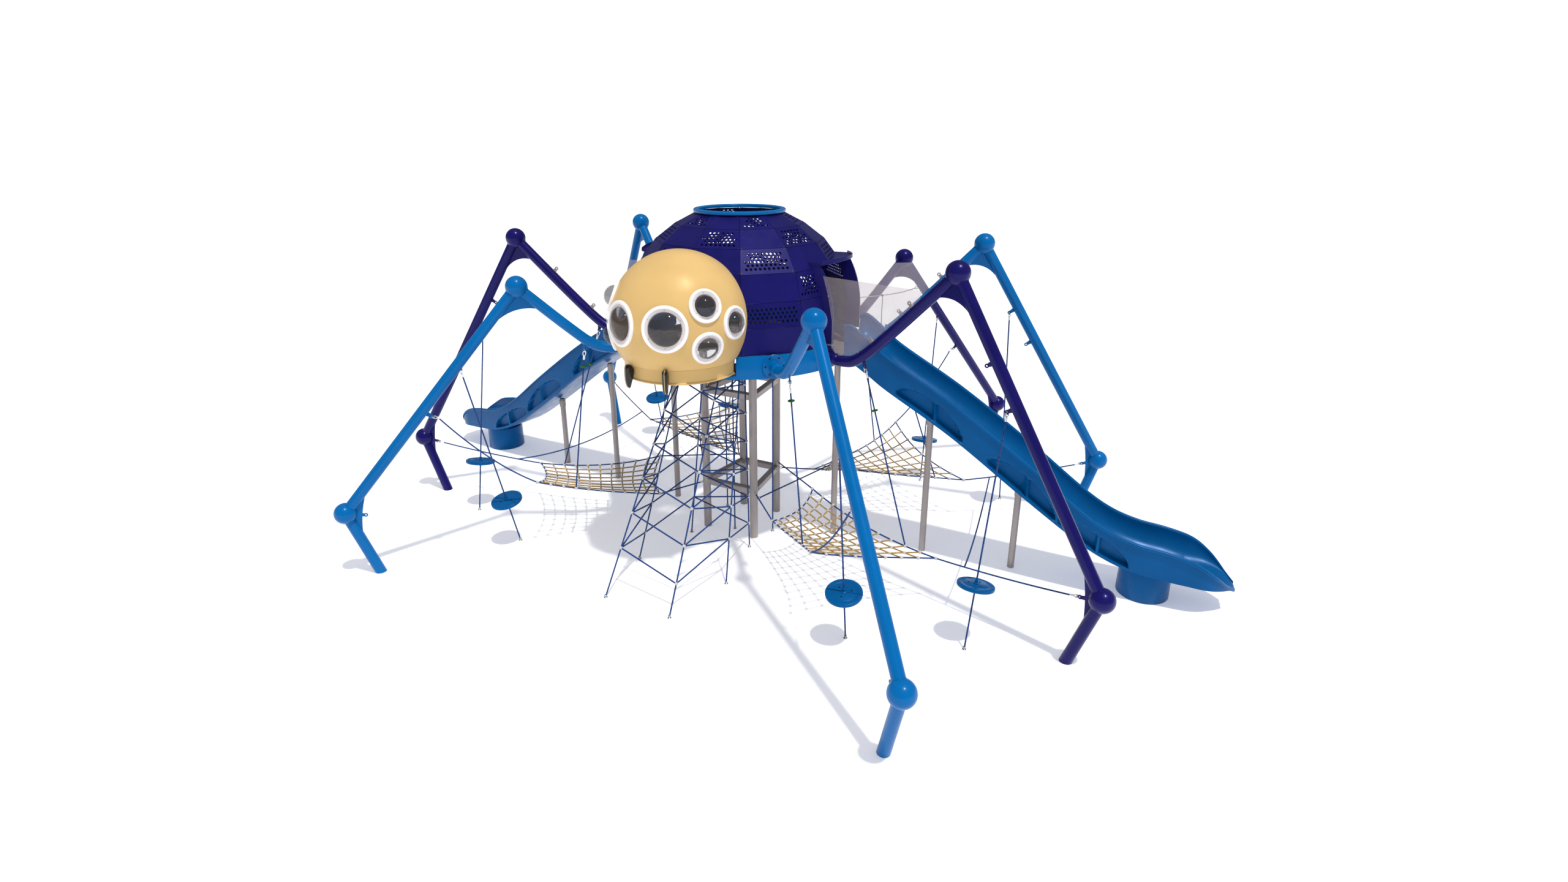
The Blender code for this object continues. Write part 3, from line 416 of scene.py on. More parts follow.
def lathe(profile, segments=48, closed=False):
    """Turned shape about z from (radius, height) points."""
    verts, rows = [], []
    for radius, height in profile:
        if radius < 1e-6:
            rows.append([len(verts)])
            verts.append(Vector((0, 0, height)))
            continue
        rows.append(list(range(len(verts), len(verts) + segments)))
        verts += [Vector((radius * cos(2 * pi * k / segments), radius * sin(2 * pi * k / segments), height))
                  for k in range(segments)]
    faces = []
    pairs = list(zip(rows, rows[1:])) + ([(rows[-1], rows[0])] if closed else [])
    for low, high in pairs:
        for k in range(segments):
            n = (k + 1) % segments
            face = [low[k % len(low)], low[n % len(low)], high[n % len(high)], high[k % len(high)]]
            face = list(dict.fromkeys(face))
            if len(face) > 2:
                faces.append(tuple(face))
    return verts, faces, None


def ring_shape(major, minor, segments=28, sides=10):
    profile = [(major + minor * cos(2 * pi * k / sides), minor * sin(2 * pi * k / sides))
               for k in range(sides)]
    return lathe(profile, segments, closed=True)


def ball(diameter, segments=40, rows=20):
    half = diameter / 2
    return lathe([(half * sin(pi * k / rows), -half * cos(pi * k / rows)) for k in range(rows + 1)], segments)


def plate(outline, thickness, chamfer=0.002):
    """Flat plate in the xz plane with chamfered edges."""
    pts = [Vector((x, z)) for x, z in outline]
    area = sum(a.x * b.y - b.x * a.y for a, b in zip(pts, pts[1:] + pts[:1]))
    turn = 1 if area > 0 else -1
    inset = []
    for before, here, after in zip(pts[-1:] + pts[:-1], pts, pts[1:] + pts[:1]):
        a, b = (here - before).normalized(), (after - here).normalized()
        normal = Vector((-(a.y + b.y), a.x + b.x)) * turn
        inset.append(here + (normal.normalized() if normal.length > 1e-6 else Vector((0, 0))) * chamfer)
    layers = [(inset, -thickness / 2), (pts, -thickness / 2 + chamfer), (pts, thickness / 2 - chamfer),
              (inset, thickness / 2)]
    verts = [Vector((p.x, y, p.y)) for ring, y in layers for p in ring]
    n = len(pts)
    faces = [tuple(range(n)), tuple(range(3 * n, 4 * n))]
    for layer in range(3):
        for k in range(n):
            m = (k + 1) % n
            faces.append((layer * n + k, layer * n + m, (layer + 1) * n + m, (layer + 1) * n + k))
    return verts, faces, None


def bolt_head(radius=0.010, height=0.006):
    return lathe([(radius * 1.35, 0), (radius * 1.35, height * 0.25), (radius, height * 0.3),
                  (radius * 0.85, height * 0.8), (radius * 0.5, height), (0, height)], 14)


def add_bolts(shape, count, radius, place, mat="dark_bolt", size=0.010, start=0.0):
    for k in range(count):
        turn = start + 2 * pi * k / count
        spot = Matrix.Translation((radius * cos(turn), radius * sin(turn), 0))
        shape.add(bolt_head(size, size * 0.6), mat, place @ spot)


# ---------------------------------------------------------------- rope fittings

def add_lug(shape, mat, at, root, thickness=0.012):
    """Tab from a tube with an eye at its end, in a leg's own xz plane."""
    at, root = Vector(at), Vector(root)
    out = (at - root).normalized()
    side = Vector((-out.y, out.x))
    base = root + out * LEG_D * 0.42
    neck = at - out * 0.016
    shape.add(plate([base + side * 0.032, base - side * 0.032, neck - side * 0.021, neck + side * 0.021],
                    thickness), mat)
    turn = Matrix.Translation((at.x, 0, at.y)) @ QUARTER_X
    half = thickness / 2
    shape.add(lathe([(0.011, -half), (0.024, -half), (0.026, -half + 0.002), (0.026, half - 0.002),
                     (0.024, half), (0.011, half)], 28, closed=True), mat, turn)


def add_tackle(shape, at, toward, cross, reach=ROPE_START):
    """Shackle, thimble and ferrule between a lug's hole and a rope; returns where the rope starts."""
    at = Vector(at)
    run = (Vector(toward) - at).normalized()
    side = (Vector(cross) - run * Vector(cross).dot(run)).normalized()
    other = run.cross(side)
    shackle = Matrix((side, run, other)).transposed().to_4x4()
    shackle.translation = at + run * 0.014
    thimble = Matrix((other, run, side)).transposed().to_4x4()
    half = (reach - 0.006) / 2
    thimble.translation = at + run * (0.006 + half)
    shape.add(ring_shape(0.022, 0.0055), "bright_steel", shackle)
    shape.add(ring_shape(0.018, 0.006), "bright_steel", thimble @ Matrix.Diagonal((1, half / 0.024, 1, 1)))
    ferrule = [(ROPE_HOLE_R, 0), (0.014, 0.004), (0.014, 0.045), (0.011, 0.052), (ROPE_HOLE_R, 0.052)]
    shape.add(lathe(ferrule, 20, closed=True), "ferrule_white", along(run, at + run * (reach - 0.006)))
    return at + run * reach


def rope_path(start, end, sag=0.0, step=0.05):
    start, end = Vector(start), Vector(end)
    count = max(2, ceil((end - start).length / step))
    return [start.lerp(end, k / count) - Vector((0, 0, sag * 4 * (k / count) * (1 - k / count)))
            for k in range(count + 1)]


def add_clamp(shape, at, size):
    shape.add(ball(size, 14, 8), "clamp_grey", Matrix.Translation(at))


def ground_fitting(name, at):
    """Flanged steel foot that a rope ends in at the ground."""
    profile = [(ROPE_HOLE_R, 0.000), (0.024, 0.000), (0.024, 0.005), (0.016, 0.012), (0.015, 0.034),
               (ROPE_HOLE_R, 0.038)]
    place = Matrix.Translation((at[0], at[1], 0.001))
    shape = Shape().add(lathe(profile, 24, closed=True), "bolt_steel", place)
    return put(name, shape.mesh(name))


def single_rope(name, path, body="root", replaces=(), place=None):
    shape = Shape().add(sweep(path, ROPE_D / 2, 12), "blue_rope")
    return put(name, shape.mesh(name), replaces, body, place)


# ---------------------------------------------------------------- legs

def web_outline(corner, end_a, end_b, reach, depth, clear_b, count=20):
    """Outline of a web between two tubes that meet at a corner, with an arched free edge."""
    origin = Vector(corner)
    a = (Vector(end_a) - origin).normalized()
    b = (Vector(end_b) - origin).normalized()
    inward = b - a * a.dot(b)
    lift = Vector((-b.y, b.x))
    if lift.dot(a) < 0:
        lift = -lift
    foot_a = origin + a * reach + inward * 0.01
    foot_b = origin + b * reach + lift * clear_b
    middle = origin + (a + b).normalized() * depth
    arch = []
    for k in range(1, count):
        t = k / count
        arch.append(foot_b * (1 - t) ** 2 + middle * 2 * t * (1 - t) + foot_a * t ** 2)
    inside = LEG_D * 0.62
    return [origin + b * inside + lift * clear_b, foot_b] + arch + [foot_a, origin + a * inside]


def weld(shape, mat, centre, toward, distance):
    """Weld bead where a tube runs into a ball."""
    centre, toward = Vector(centre), Vector(toward)
    run = (toward - centre).normalized()
    shape.add(ring_shape(LEG_D / 2 + 0.001, 0.0045, 40, 8), mat, along(run, centre + run * distance))


def on_line(start, end, height):
    t = (height - start[1]) / (end[1] - start[1])
    return Vector((start[0] + (end[0] - start[0]) * t, height))


def arm_path(kind, steps):
    """Centreline of an arm from its flange to its knee, in the leg's own plane."""
    knee = KNEES[kind]
    start = SKIRT_R + GAP
    far = start + 0.50
    points = [(start + 0.009, 0, FLANGE_Z), (start + 0.25, 0, FLANGE_Z - 0.010), (far, 0, FLANGE_Z + 0.065),
              (far + (knee[0] - far) * 0.33, 0, FLANGE_Z + 0.065 + (knee[1] - FLANGE_Z - 0.065) * 0.30),
              (knee[0], 0, knee[1])]
    return smooth_path(points, steps)


def build_legs():
    inside_ball = sqrt((BALL_D / 2) ** 2 - (LEG_D / 2) ** 2)
    start = SKIRT_R + GAP
    pieces = {}
    for kind, knee in KNEES.items():
        coarse = arm_path(kind, 2)
        path = arm_path(kind, 9)
        near_knee = (coarse[-3].x, coarse[-3].z)
        top = Vector((knee[0], 0, knee[1]))
        ankle = Vector((ANKLE[0], 0, ANKLE[1]))
        for tone in ("blue", "navy"):
            paint = f"{tone}_paint"
            arm = Shape().add(sweep(path, LEG_D / 2, 36), paint)
            flange = Matrix.Translation((start, 0, FLANGE_Z)) @ Matrix.Rotation(pi / 2, 4, "Y")
            edge = FLANGE_D / 2
            arm.add(lathe([(0, 0), (edge, 0), (edge, FLANGE_T - 0.003), (edge - 0.003, FLANGE_T),
                           (0, FLANGE_T)], 64), paint, flange)
            face = flange @ Matrix.Translation((0, 0, FLANGE_T))
            add_bolts(arm, 6, 0.118, face, "dark_bolt", 0.010, pi / 6)
            arm.add(ring_shape(LEG_D / 2 + 0.002, 0.005, 40, 8), paint, face)
            arm.add(ball(LEG_D * 1.13), paint, Matrix.Translation((start + 0.135, 0, FLANGE_Z - 0.004)))
            arm.add(ball(BALL_D, 64, 32), paint, Matrix.Translation(top))
            weld(arm, paint, top, path[-3], inside_ball)
            web = web_outline(knee, near_knee, ANKLE, WEB_REACH, WEB_DEPTH, LEG_D / 2 + GAP)
            arm.add(plate(web, WEB_T), paint)
            lug_root = min(path, key=lambda p: abs(p.x - ARM_LUG_R))
            add_lug(arm, paint, arm_lug(kind), (lug_root.x, lug_root.z))
            for share in UPPER_LUGS if kind == "high" else ():
                upper = path[int(len(path) * share)]
                ahead = (path[int(len(path) * share) + 1] - upper).normalized()
                eye = (upper.x - ahead.z * UPPER_LUG_H, upper.z + ahead.x * UPPER_LUG_H)
                add_lug(arm, "post_grey", eye, (upper.x, upper.z))
            pieces[kind, tone, "arm"] = arm.mesh(f"arm_{kind}_{tone}")

            shin = Shape().add(sweep([top.lerp(ankle, k / 12) for k in range(13)], LEG_D / 2, 36), paint)
            foot = Vector((FOOT_R, 0, 0))
            shin.add(sweep([ankle.lerp(foot, k / 4) for k in range(5)], LEG_D / 2, 36, flat_foot=True), paint)
            shin.add(ball(BALL_D, 64, 32), paint, Matrix.Translation(ankle))
            weld(shin, paint, top, ankle, inside_ball)
            weld(shin, paint, ankle, top, inside_ball)
            weld(shin, paint, ankle, foot, inside_ball)
            web = web_outline(ANKLE, knee, (FOOT_R, 0.0), ANKLE_WEB_REACH, ANKLE_WEB_DEPTH, 0.01)
            shin.add(plate(web, WEB_T), paint)
            run = Vector((ANKLE[0] - knee[0], ANKLE[1] - knee[1])).normalized()
            eyes = {"low": (step_eye("1"), shin_lug("low", 1)), "high": (step_eye("2"), step_eye("3"))}[kind]
            for eye in eyes:
                eye = Vector(eye)
                add_lug(shin, paint, eye, Vector(knee) + run * (eye - Vector(knee)).dot(run))
            add_lug(shin, paint, NET_LUG, (ANKLE[0] - 0.03, ANKLE[1] - 0.02))
            pieces[kind, tone, "shin"] = shin.mesh(f"shin_{kind}_{tone}")
    for number, angle in LEG_ANGLES.items():
        kind = "low" if number in LOW_LEGS else "high"
        tone = "blue" if number in ("1", "3") else "navy"
        for side, sign in SIDES:
            for part in ("arm", "shin"):
                put(f"spider_{part}_{side}_{number}", pieces[kind, tone, part],
                    [f"leg_{side}_{number}_{part}"], place=turn_z(sign * angle))


# ---------------------------------------------------------------- dome

PANEL_T = 0.010
PANEL_SEAM = 0.0025
HOLE_PITCH = 0.058
HOLE_R = 0.0195
HOLE_SIDES = 10
ROW_STEP = HOLE_PITCH * 0.866
COLUMNS = 12
COLUMN_ANGLE = 360.0 / COLUMNS
DECK_PITCH = 0.105
DECK_HOLE_R = 0.016
DECK_EDGE = 0.05


def tier_rings(radius=DOME_R):
    corners = [(radius * across, DOME_MID_Z + radius * up) for across, up in TIER_CORNERS]
    return [(corners[0][0], WALL_FOOT_Z)] + corners


def panel_faces(width_low, width_high, height, perforated):
    """Flat panel in its own plane, centred in x, with staggered round holes."""
    corners = [(-width_low / 2, 0), (width_low / 2, 0), (width_high / 2, height), (-width_high / 2, height)]
    verts = [Vector(c) for c in corners]
    loops = [list(range(4))]
    margin = 0.052
    if perforated:
        rows = int((height - 2 * margin * 0.75) / ROW_STEP)
        spare = height - (rows - 1) * ROW_STEP
        for row in range(rows):
            y = spare / 2 + row * ROW_STEP
            width = width_low + (width_high - width_low) * y / height
            count = int((width - 2 * margin - (row % 2) * HOLE_PITCH) / HOLE_PITCH) + 1
            if count % 2 != row % 2:
                count -= 1
            for k in range(count):
                x = (k - (count - 1) / 2) * HOLE_PITCH
                base = len(verts)
                verts += circle(HOLE_R, HOLE_SIDES, x, y)
                loops.append(list(range(base, base + HOLE_SIDES)))
    out = delaunay_2d_cdt(verts, [], loops, 5 if perforated else 1, 1e-6)
    return out[0], out[2]


def build_dome():
    rings = tier_rings()
    bm = bmesh.new()
    bolts = Shape()
    for column in range(COLUMNS):
        a0, a1 = column * COLUMN_ANGLE, (column + 1) * COLUMN_ANGLE
        for tier in range(len(rings) - 1):
            (r0, z0), (r1, z1) = rings[tier], rings[tier + 1]
            low_a, low_b = polar(a0, r0, z0), polar(a1, r0, z0)
            high_a, high_b = polar(a0, r1, z1), polar(a1, r1, z1)
            origin = (low_a + low_b) / 2
            across = (low_b - low_a).normalized()
            up = ((high_a + high_b) / 2 - origin)
            height = up.length - 2 * PANEL_SEAM
            up.normalize()
            normal = across.cross(up)
            from_top = len(rings) - 1 - tier
            perforated = tier > 0 and (column + from_top) % 2 == 0
            flat, faces = panel_faces((low_b - low_a).length - 2 * PANEL_SEAM,
                                      (high_b - high_a).length - 2 * PANEL_SEAM, height, perforated)
            verts = [bm.verts.new(origin + across * p.x + up * (p.y + PANEL_SEAM)) for p in flat]
            for face in faces:
                bm.faces.new([verts[i] for i in face])
            half_low, half_high = (low_b - low_a).length / 2 - 0.026, (high_b - high_a).length / 2 - 0.026
            for x, y in ((-half_low, 0.022), (half_low, 0.022), (half_high, height - 0.018),
                         (-half_high, height - 0.018)):
                spot = origin + across * x + up * y
                if in_door(spot, 0.03) or in_head_hole(spot, 0.03):
                    continue
                place = Matrix((across, up, normal)).transposed().to_4x4()
                place.translation = spot
                bolts.add(bolt_head(0.007, 0.004), "dark_bolt", place)
    for side in (1, -1):
        door = door_axis(side)
        for co, no in (((0, side * DOOR_SHIFT - DOOR_W / 2, 0), (0, 1, 0)),
                       ((0, side * DOOR_SHIFT + DOOR_W / 2, 0), (0, 1, 0)), ((0, 0, DOOR_TOP_Z), (0, 0, 1))):
            near = [f for f in bm.faces if (door.inverted() @ f.calc_center_median()).x > 0.6]
            cut(bm, near, door @ Vector(co), door.to_3x3() @ Vector(no))
    for k in range(16):
        turn = 2 * pi * k / 16
        out = Vector((cos(turn), 0, sin(turn)))
        front = [f for f in bm.faces if f.calc_center_median().y < -0.7]
        cut(bm, front, Vector((0, 0, HEAD_MID.z)) + out * HEAD_HOLE_R, out)
    gone = [f for f in bm.faces if in_door(f.calc_center_median()) or in_head_hole(f.calc_center_median())]
    bmesh.ops.delete(bm, geom=gone, context="FACES")
    bmesh.ops.recalc_face_normals(bm, faces=bm.faces)
    for f in bm.faces:
        if f.normal.dot(f.calc_center_median() - Vector((0, 0, DOME_MID_Z - 0.5))) < 0:
            f.normal_flip()
    data = bpy.data.meshes.new("dome_panels")
    bm.to_mesh(data)
    bm.free()
    data.materials.append(M["navy_panel"])
    shell = put("dome_panels", data, ["dome_shell"])
    thick = shell.modifiers.new("thickness", "SOLIDIFY")
    thick.thickness = PANEL_T
    thick.offset = -1
    put("dome_panel_bolts", bolts.mesh("dome_panel_bolts"))

    ribs = Shape()
    inner = tier_rings(DOME_R - PANEL_T - 0.004)
    for column in range(COLUMNS):
        angle = column * COLUMN_ANGLE
        pts = [polar(angle, r, z) for r, z in inner]
        out = polar(angle, 1, 0)
        side = Vector((out.y, -out.x, 0)) * 0.022
        for a, b in zip(pts, pts[1:]):
            for k in range(4):
                p, q = a.lerp(b, k / 4), a.lerp(b, (k + 1) / 4)
                if in_door((p + q) / 2, 0.01) or in_head_hole((p + q) / 2, 0.02):
                    continue
                depth = -out * 0.006
                corners = [p + side, p - side, p - side + depth, p + side + depth,
                           q + side, q - side, q - side + depth, q + side + depth]
                ribs.add((corners, [(0, 1, 5, 4), (1, 2, 6, 5), (2, 3, 7, 6), (3, 0, 4, 7), (0, 3, 2, 1),
                                    (4, 5, 6, 7)], None), "navy_panel")
    put("dome_ribs", ribs.mesh("dome_ribs"))

    ring = Shape()
    top_r, top_z = rings[-1]
    ring.add(lathe([(top_r - 0.045, top_z + 0.004), (top_r + 0.026, top_z + 0.004),
                    (top_r + 0.030, top_z + 0.012), (top_r + 0.028, top_z + 0.034),
                    (top_r + 0.014, top_z + 0.046), (top_r - 0.010, top_z + 0.050),
                    (top_r - 0.034, top_z + 0.046), (top_r - 0.045, top_z + 0.034)], 128, closed=True),
             "blue_paint")
    put("top_ring", ring.mesh("top_ring"), ["dome_top_ring"])

    skirt = Shape()
    segments = 144
    high, low = WALL_FOOT_Z - GAP, SKIRT_LOW_Z
    section = [(SKIRT_R, low + 0.006), (SKIRT_R, high - 0.006), (SKIRT_R - 0.004, high),
               (SKIRT_R - 0.030, high), (SKIRT_R - 0.030, low), (SKIRT_R - 0.006, low)]
    for first in range(segments):
        angle = 360.0 * first / segments
        mid = polar(angle + 180.0 / segments, SKIRT_R - 0.015, 0)
        top = high
        if abs(mid.x) < TUB_R + 0.002 and mid.y < 0 and (mid - Vector((0, HEAD_MID.y, 0))).length < TUB_R:
            top = TUB_LOW_Z - 0.032
        elif any(abs((door_axis(s).inverted() @ mid).y - s * DOOR_SHIFT) < DOOR_W / 2
                 and (door_axis(s).inverted() @ mid).x > 0 for s in (1, -1)):
            top = FLOOR_Z - 0.002
        cutoff = [(r, min(z, top)) for r, z in section]
        a = [polar(angle, r, z) for r, z in cutoff]
        b = [polar(angle + 360.0 / segments, r, z) for r, z in cutoff]
        n = len(section)
        faces = [(k, (k + 1) % n, n + (k + 1) % n, n + k) for k in range(n)]
        skirt.add((a + b, faces, None), "blue_paint")
    data = skirt.mesh("skirt_band")
    weld_points(data)
    put("skirt_band", data, ["dome_skirt"])

    deck = Shape()
    outer = SKIRT_R - 0.034
    pts, loops = [], []
    rounds = [(0, 0, outer, 96), (0, HATCH_Y, HATCH_R, 48), (0, TOWER_HATCH_Y, TOWER_HATCH_R, 40)]
    for i in range(-14, 15):
        for j in range(-14, 15):
            x = i * DECK_PITCH + (j % 2) * DECK_PITCH / 2
            y = j * DECK_PITCH * 0.866
            in_hatch = hypot(x, y - HATCH_Y) < HATCH_R + DECK_EDGE
            in_tower_hatch = hypot(x, y - TOWER_HATCH_Y) < TOWER_HATCH_R + DECK_EDGE
            if hypot(x, y) > outer - 0.08 or in_hatch or in_tower_hatch:
                continue
            rounds.append((x, y, DECK_HOLE_R, 8))
    for x, y, r, count in rounds:
        base = len(pts)
        pts += circle(r, count, x, y)
        loops.append(list(range(base, base + count)))
    flat = delaunay_2d_cdt(pts, [], loops, 5, 1e-6)
    deck.add(([Vector((p.x, p.y, FLOOR_Z - 0.002)) for p in flat[0]], [tuple(f) for f in flat[2]], None),
             "deck_grey")
    data = deck.mesh("deck_plate")
    plate_obj = put("deck_plate", data, ["dome_floor"])
    thick = plate_obj.modifiers.new("thickness", "SOLIDIFY")
    thick.thickness = FLOOR_T - 0.004
    thick.offset = -1


def weld_points(data):
    bm = bmesh.new()
    bm.from_mesh(data)
    bmesh.ops.remove_doubles(bm, verts=bm.verts, dist=0.0001)
    bmesh.ops.recalc_face_normals(bm, faces=bm.faces)
    bm.to_mesh(data)
    bm.free()
    data.set_sharp_from_angle(angle=radians(35))


def cut(bm, faces, co, no):
    geom = list({v for f in faces for v in f.verts}) + list({e for f in faces for e in f.edges}) + faces
    bmesh.ops.bisect_plane(bm, geom=geom, dist=1e-5, plane_co=co, plane_no=no)


def door_axis(side):
    return Matrix.Translation((0, DOOR_OFFSET, 0)) @ turn_z(side * DOOR_ANGLE)


def in_door(point, grow=0.0):
    for side in (1, -1):
        p = door_axis(side).inverted() @ point
        if p.x > 0.6 and abs(p.y - side * DOOR_SHIFT) < DOOR_W / 2 + grow and p.z < DOOR_TOP_Z + grow:
            return True
    return False


HEAD_HOLE_R = 0.735


def in_head_hole(point, grow=0.0):
    return point.y < -0.7 and hypot(point.x, point.z - HEAD_MID.z) < HEAD_HOLE_R + grow


def wall_x(height, across):
    """Distance out to the dome's round envelope at a height and a distance across the doorway."""
    rise = max(height - DOME_MID_Z - 0.13, 0.0)
    level = sqrt(max(DOME_R ** 2 - rise ** 2 * 1.12, 0.01))
    return sqrt(max(level ** 2 - across ** 2, 0.01))


def build_doors():
    half = DOOR_W / 2
    for name, side in SIDES:
        frame_shape = Shape()
        foot_z = FLANGE_Z + FLANGE_D / 2 + 0.006
        place = door_axis(side) @ Matrix.Translation((0, side * DOOR_SHIFT, 0))
        for sign in (-1, 1):
            rows, steps = [], 28
            for k in range(steps + 1):
                z = foot_z + (DOOR_TOP_Z + 0.02 - foot_z) * k / steps
                edge = abs(sign * half + side * DOOR_SHIFT)
                x = wall_x(z, edge)
                y0, y1 = sign * half, sign * (half + 0.040)
                section = [(-0.13, y0), (0.052, y0), (0.056, y0 + sign * 0.004), (0.056, y1 - sign * 0.012),
                           (0.050, y1), (-0.13, y1)]
                rows.append([Vector((x + out, y, z)) for out, y in section])
            frame_shape.add(loft(rows), "navy_panel", place)
        rows, steps = [], 32
        for k in range(steps + 1):
            across = -half - 0.045 + (DOOR_W + 0.09) * k / steps
            arch = cos(pi * across / (DOOR_W + 0.09))
            x = wall_x(DOOR_TOP_Z, abs(across) + 0.03) - 0.14
            z = DOOR_TOP_Z + 0.010 - 0.030 * arch
            reach = wall_x(DOOR_TOP_Z, half) + 0.06 + 0.20 * arch
            lip = z + 0.05 * arch
            section = [(x, z - 0.016), (reach, lip - 0.020), (reach + 0.014, lip - 0.008),
                       (reach + 0.010, lip + 0.034), (reach - 0.004, lip + 0.036),
                       (reach - 0.008, lip + 0.004), (x, z + 0.010)]
            rows.append([Vector((out, across, up)) for out, up in section])
        frame_shape.add(loft(rows), "navy_panel", place)
        put(f"door_hood_{name}", frame_shape.mesh(f"door_hood_{name}"), [f"door_frame_{name}"])


def build_screens():
    """Clear screens that stand on the two arms beside each slide, and a thin rail on the rear one."""
    path = arm_path("high", 9)
    edge = []
    for a, b in zip(path, path[1:]):
        run = (b - a).normalized()
        over = Vector((a.x - run.z * (LEG_D / 2 + 0.006), a.z + run.x * (LEG_D / 2 + 0.006)))
        if a.x > SKIRT_R + 0.12 and over.y < SCREEN_TOP_Z:
            edge.append(over)
    foot = edge[0]
    rings = tier_rings(DOME_R + 0.080)
    inner = [Vector(p) for p in rings if foot.y + 0.02 < p[1] < SCREEN_TOP_Z - 0.02]
    above = next(k for k, p in enumerate(rings) if p[1] > SCREEN_TOP_Z)
    t = (SCREEN_TOP_Z - rings[above - 1][1]) / (rings[above][1] - rings[above - 1][1])
    corner = Vector((rings[above - 1][0] * (1 - t) + rings[above][0] * t, SCREEN_TOP_Z))
    last = edge[-1]
    outline = edge + [Vector((last.x + 0.02, SCREEN_TOP_Z)), corner] + inner[::-1]
    screen = Shape().add(plate(outline, 0.008, 0.0015), "clear_panel")
    for spot in (edge[2], edge[len(edge) // 2], edge[-2], inner[-1]):
        clip = Matrix.Translation((spot.x, 0, spot.y)) @ QUARTER_X
        for flip_over in (0, pi):
            place = clip @ Matrix.Rotation(flip_over, 4, "X") @ Matrix.Translation((0, 0, 0.0042))
            screen.add(bolt_head(0.010, 0.006), "bolt_steel", place)
    rail = Shape()
    knob, bend, eye = Vector((1.62, -0.05, 3.42)), Vector((1.96, -0.05, 3.45)), Vector((2.43, -0.05, 3.55))
    rail.add(sweep(smooth_path([knob, bend, (2.2, -0.05, 3.485), eye], 6), 0.006, 12), "bright_steel")
    rail.add(sweep([(1.965, -0.05, z) for z in (3.02, 3.16, 3.30, 3.45)], 0.007, 12), "bright_steel")
    for spot in (knob, bend):
        rail.add(ball(0.034, 20, 12), "bolt_steel", Matrix.Translation(spot))
    rail.add(ring_shape(0.020, 0.006), "bright_steel", Matrix.Translation(eye) @ QUARTER_X)
    rail.add(sweep([knob, knob + Vector((-0.10, 0.03, -0.01))], 0.010, 12), "bolt_steel")
    screen_mesh, rail_mesh = screen.mesh("arm_screen"), rail.mesh("arm_rail")
    for side, sign in SIDES:
        for number in ("2", "3"):
            turn = turn_z(sign * LEG_ANGLES[number])
            put(f"arm_screen_{side}_{number}", screen_mesh, place=turn)
        mirror = Matrix.Scale(sign, 4, (0, 1, 0))
        turned = rail_mesh.copy()
        turned.transform(mirror)
        if sign < 0:
            turned.flip_normals()
        put(f"arm_rail_{side}", turned, place=turn_z(sign * LEG_ANGLES["3"]))


def loft(rows):
    """Closed skin over rings of equal count."""
    n = len(rows[0])
    verts = [p for row in rows for p in row]
    faces = [(i * n + k, i * n + (k + 1) % n, (i + 1) * n + (k + 1) % n, (i + 1) * n + k)
             for i in range(len(rows) - 1) for k in range(n)]
    faces += [tuple(range(n)), tuple(range((len(rows) - 1) * n, len(rows) * n))]
    return verts, faces, None


# ---------------------------------------------------------------- head

def eye_place(turn, tilt):
    a, b = radians(turn), radians(tilt)
    out = Vector((sin(a) * cos(b), -cos(a) * cos(b), sin(b)))
    return along(out, HEAD_MID + out * HEAD_R)


def boolean(base, tool):
    """The base mesh with the tool mesh cut away."""
    body = bpy.data.objects.new("body", base)
    other = bpy.data.objects.new("tool", tool)
    for obj in (body, other):
        bpy.context.scene.collection.objects.link(obj)
    modifier = body.modifiers.new("cut", "BOOLEAN")
    modifier.operation = "DIFFERENCE"
    modifier.solver = "EXACT"
    modifier.object = other
    result = bpy.data.meshes.new_from_object(body.evaluated_get(bpy.context.evaluated_depsgraph_get()))
    for obj in (body, other):
        bpy.data.objects.remove(obj)
    return result


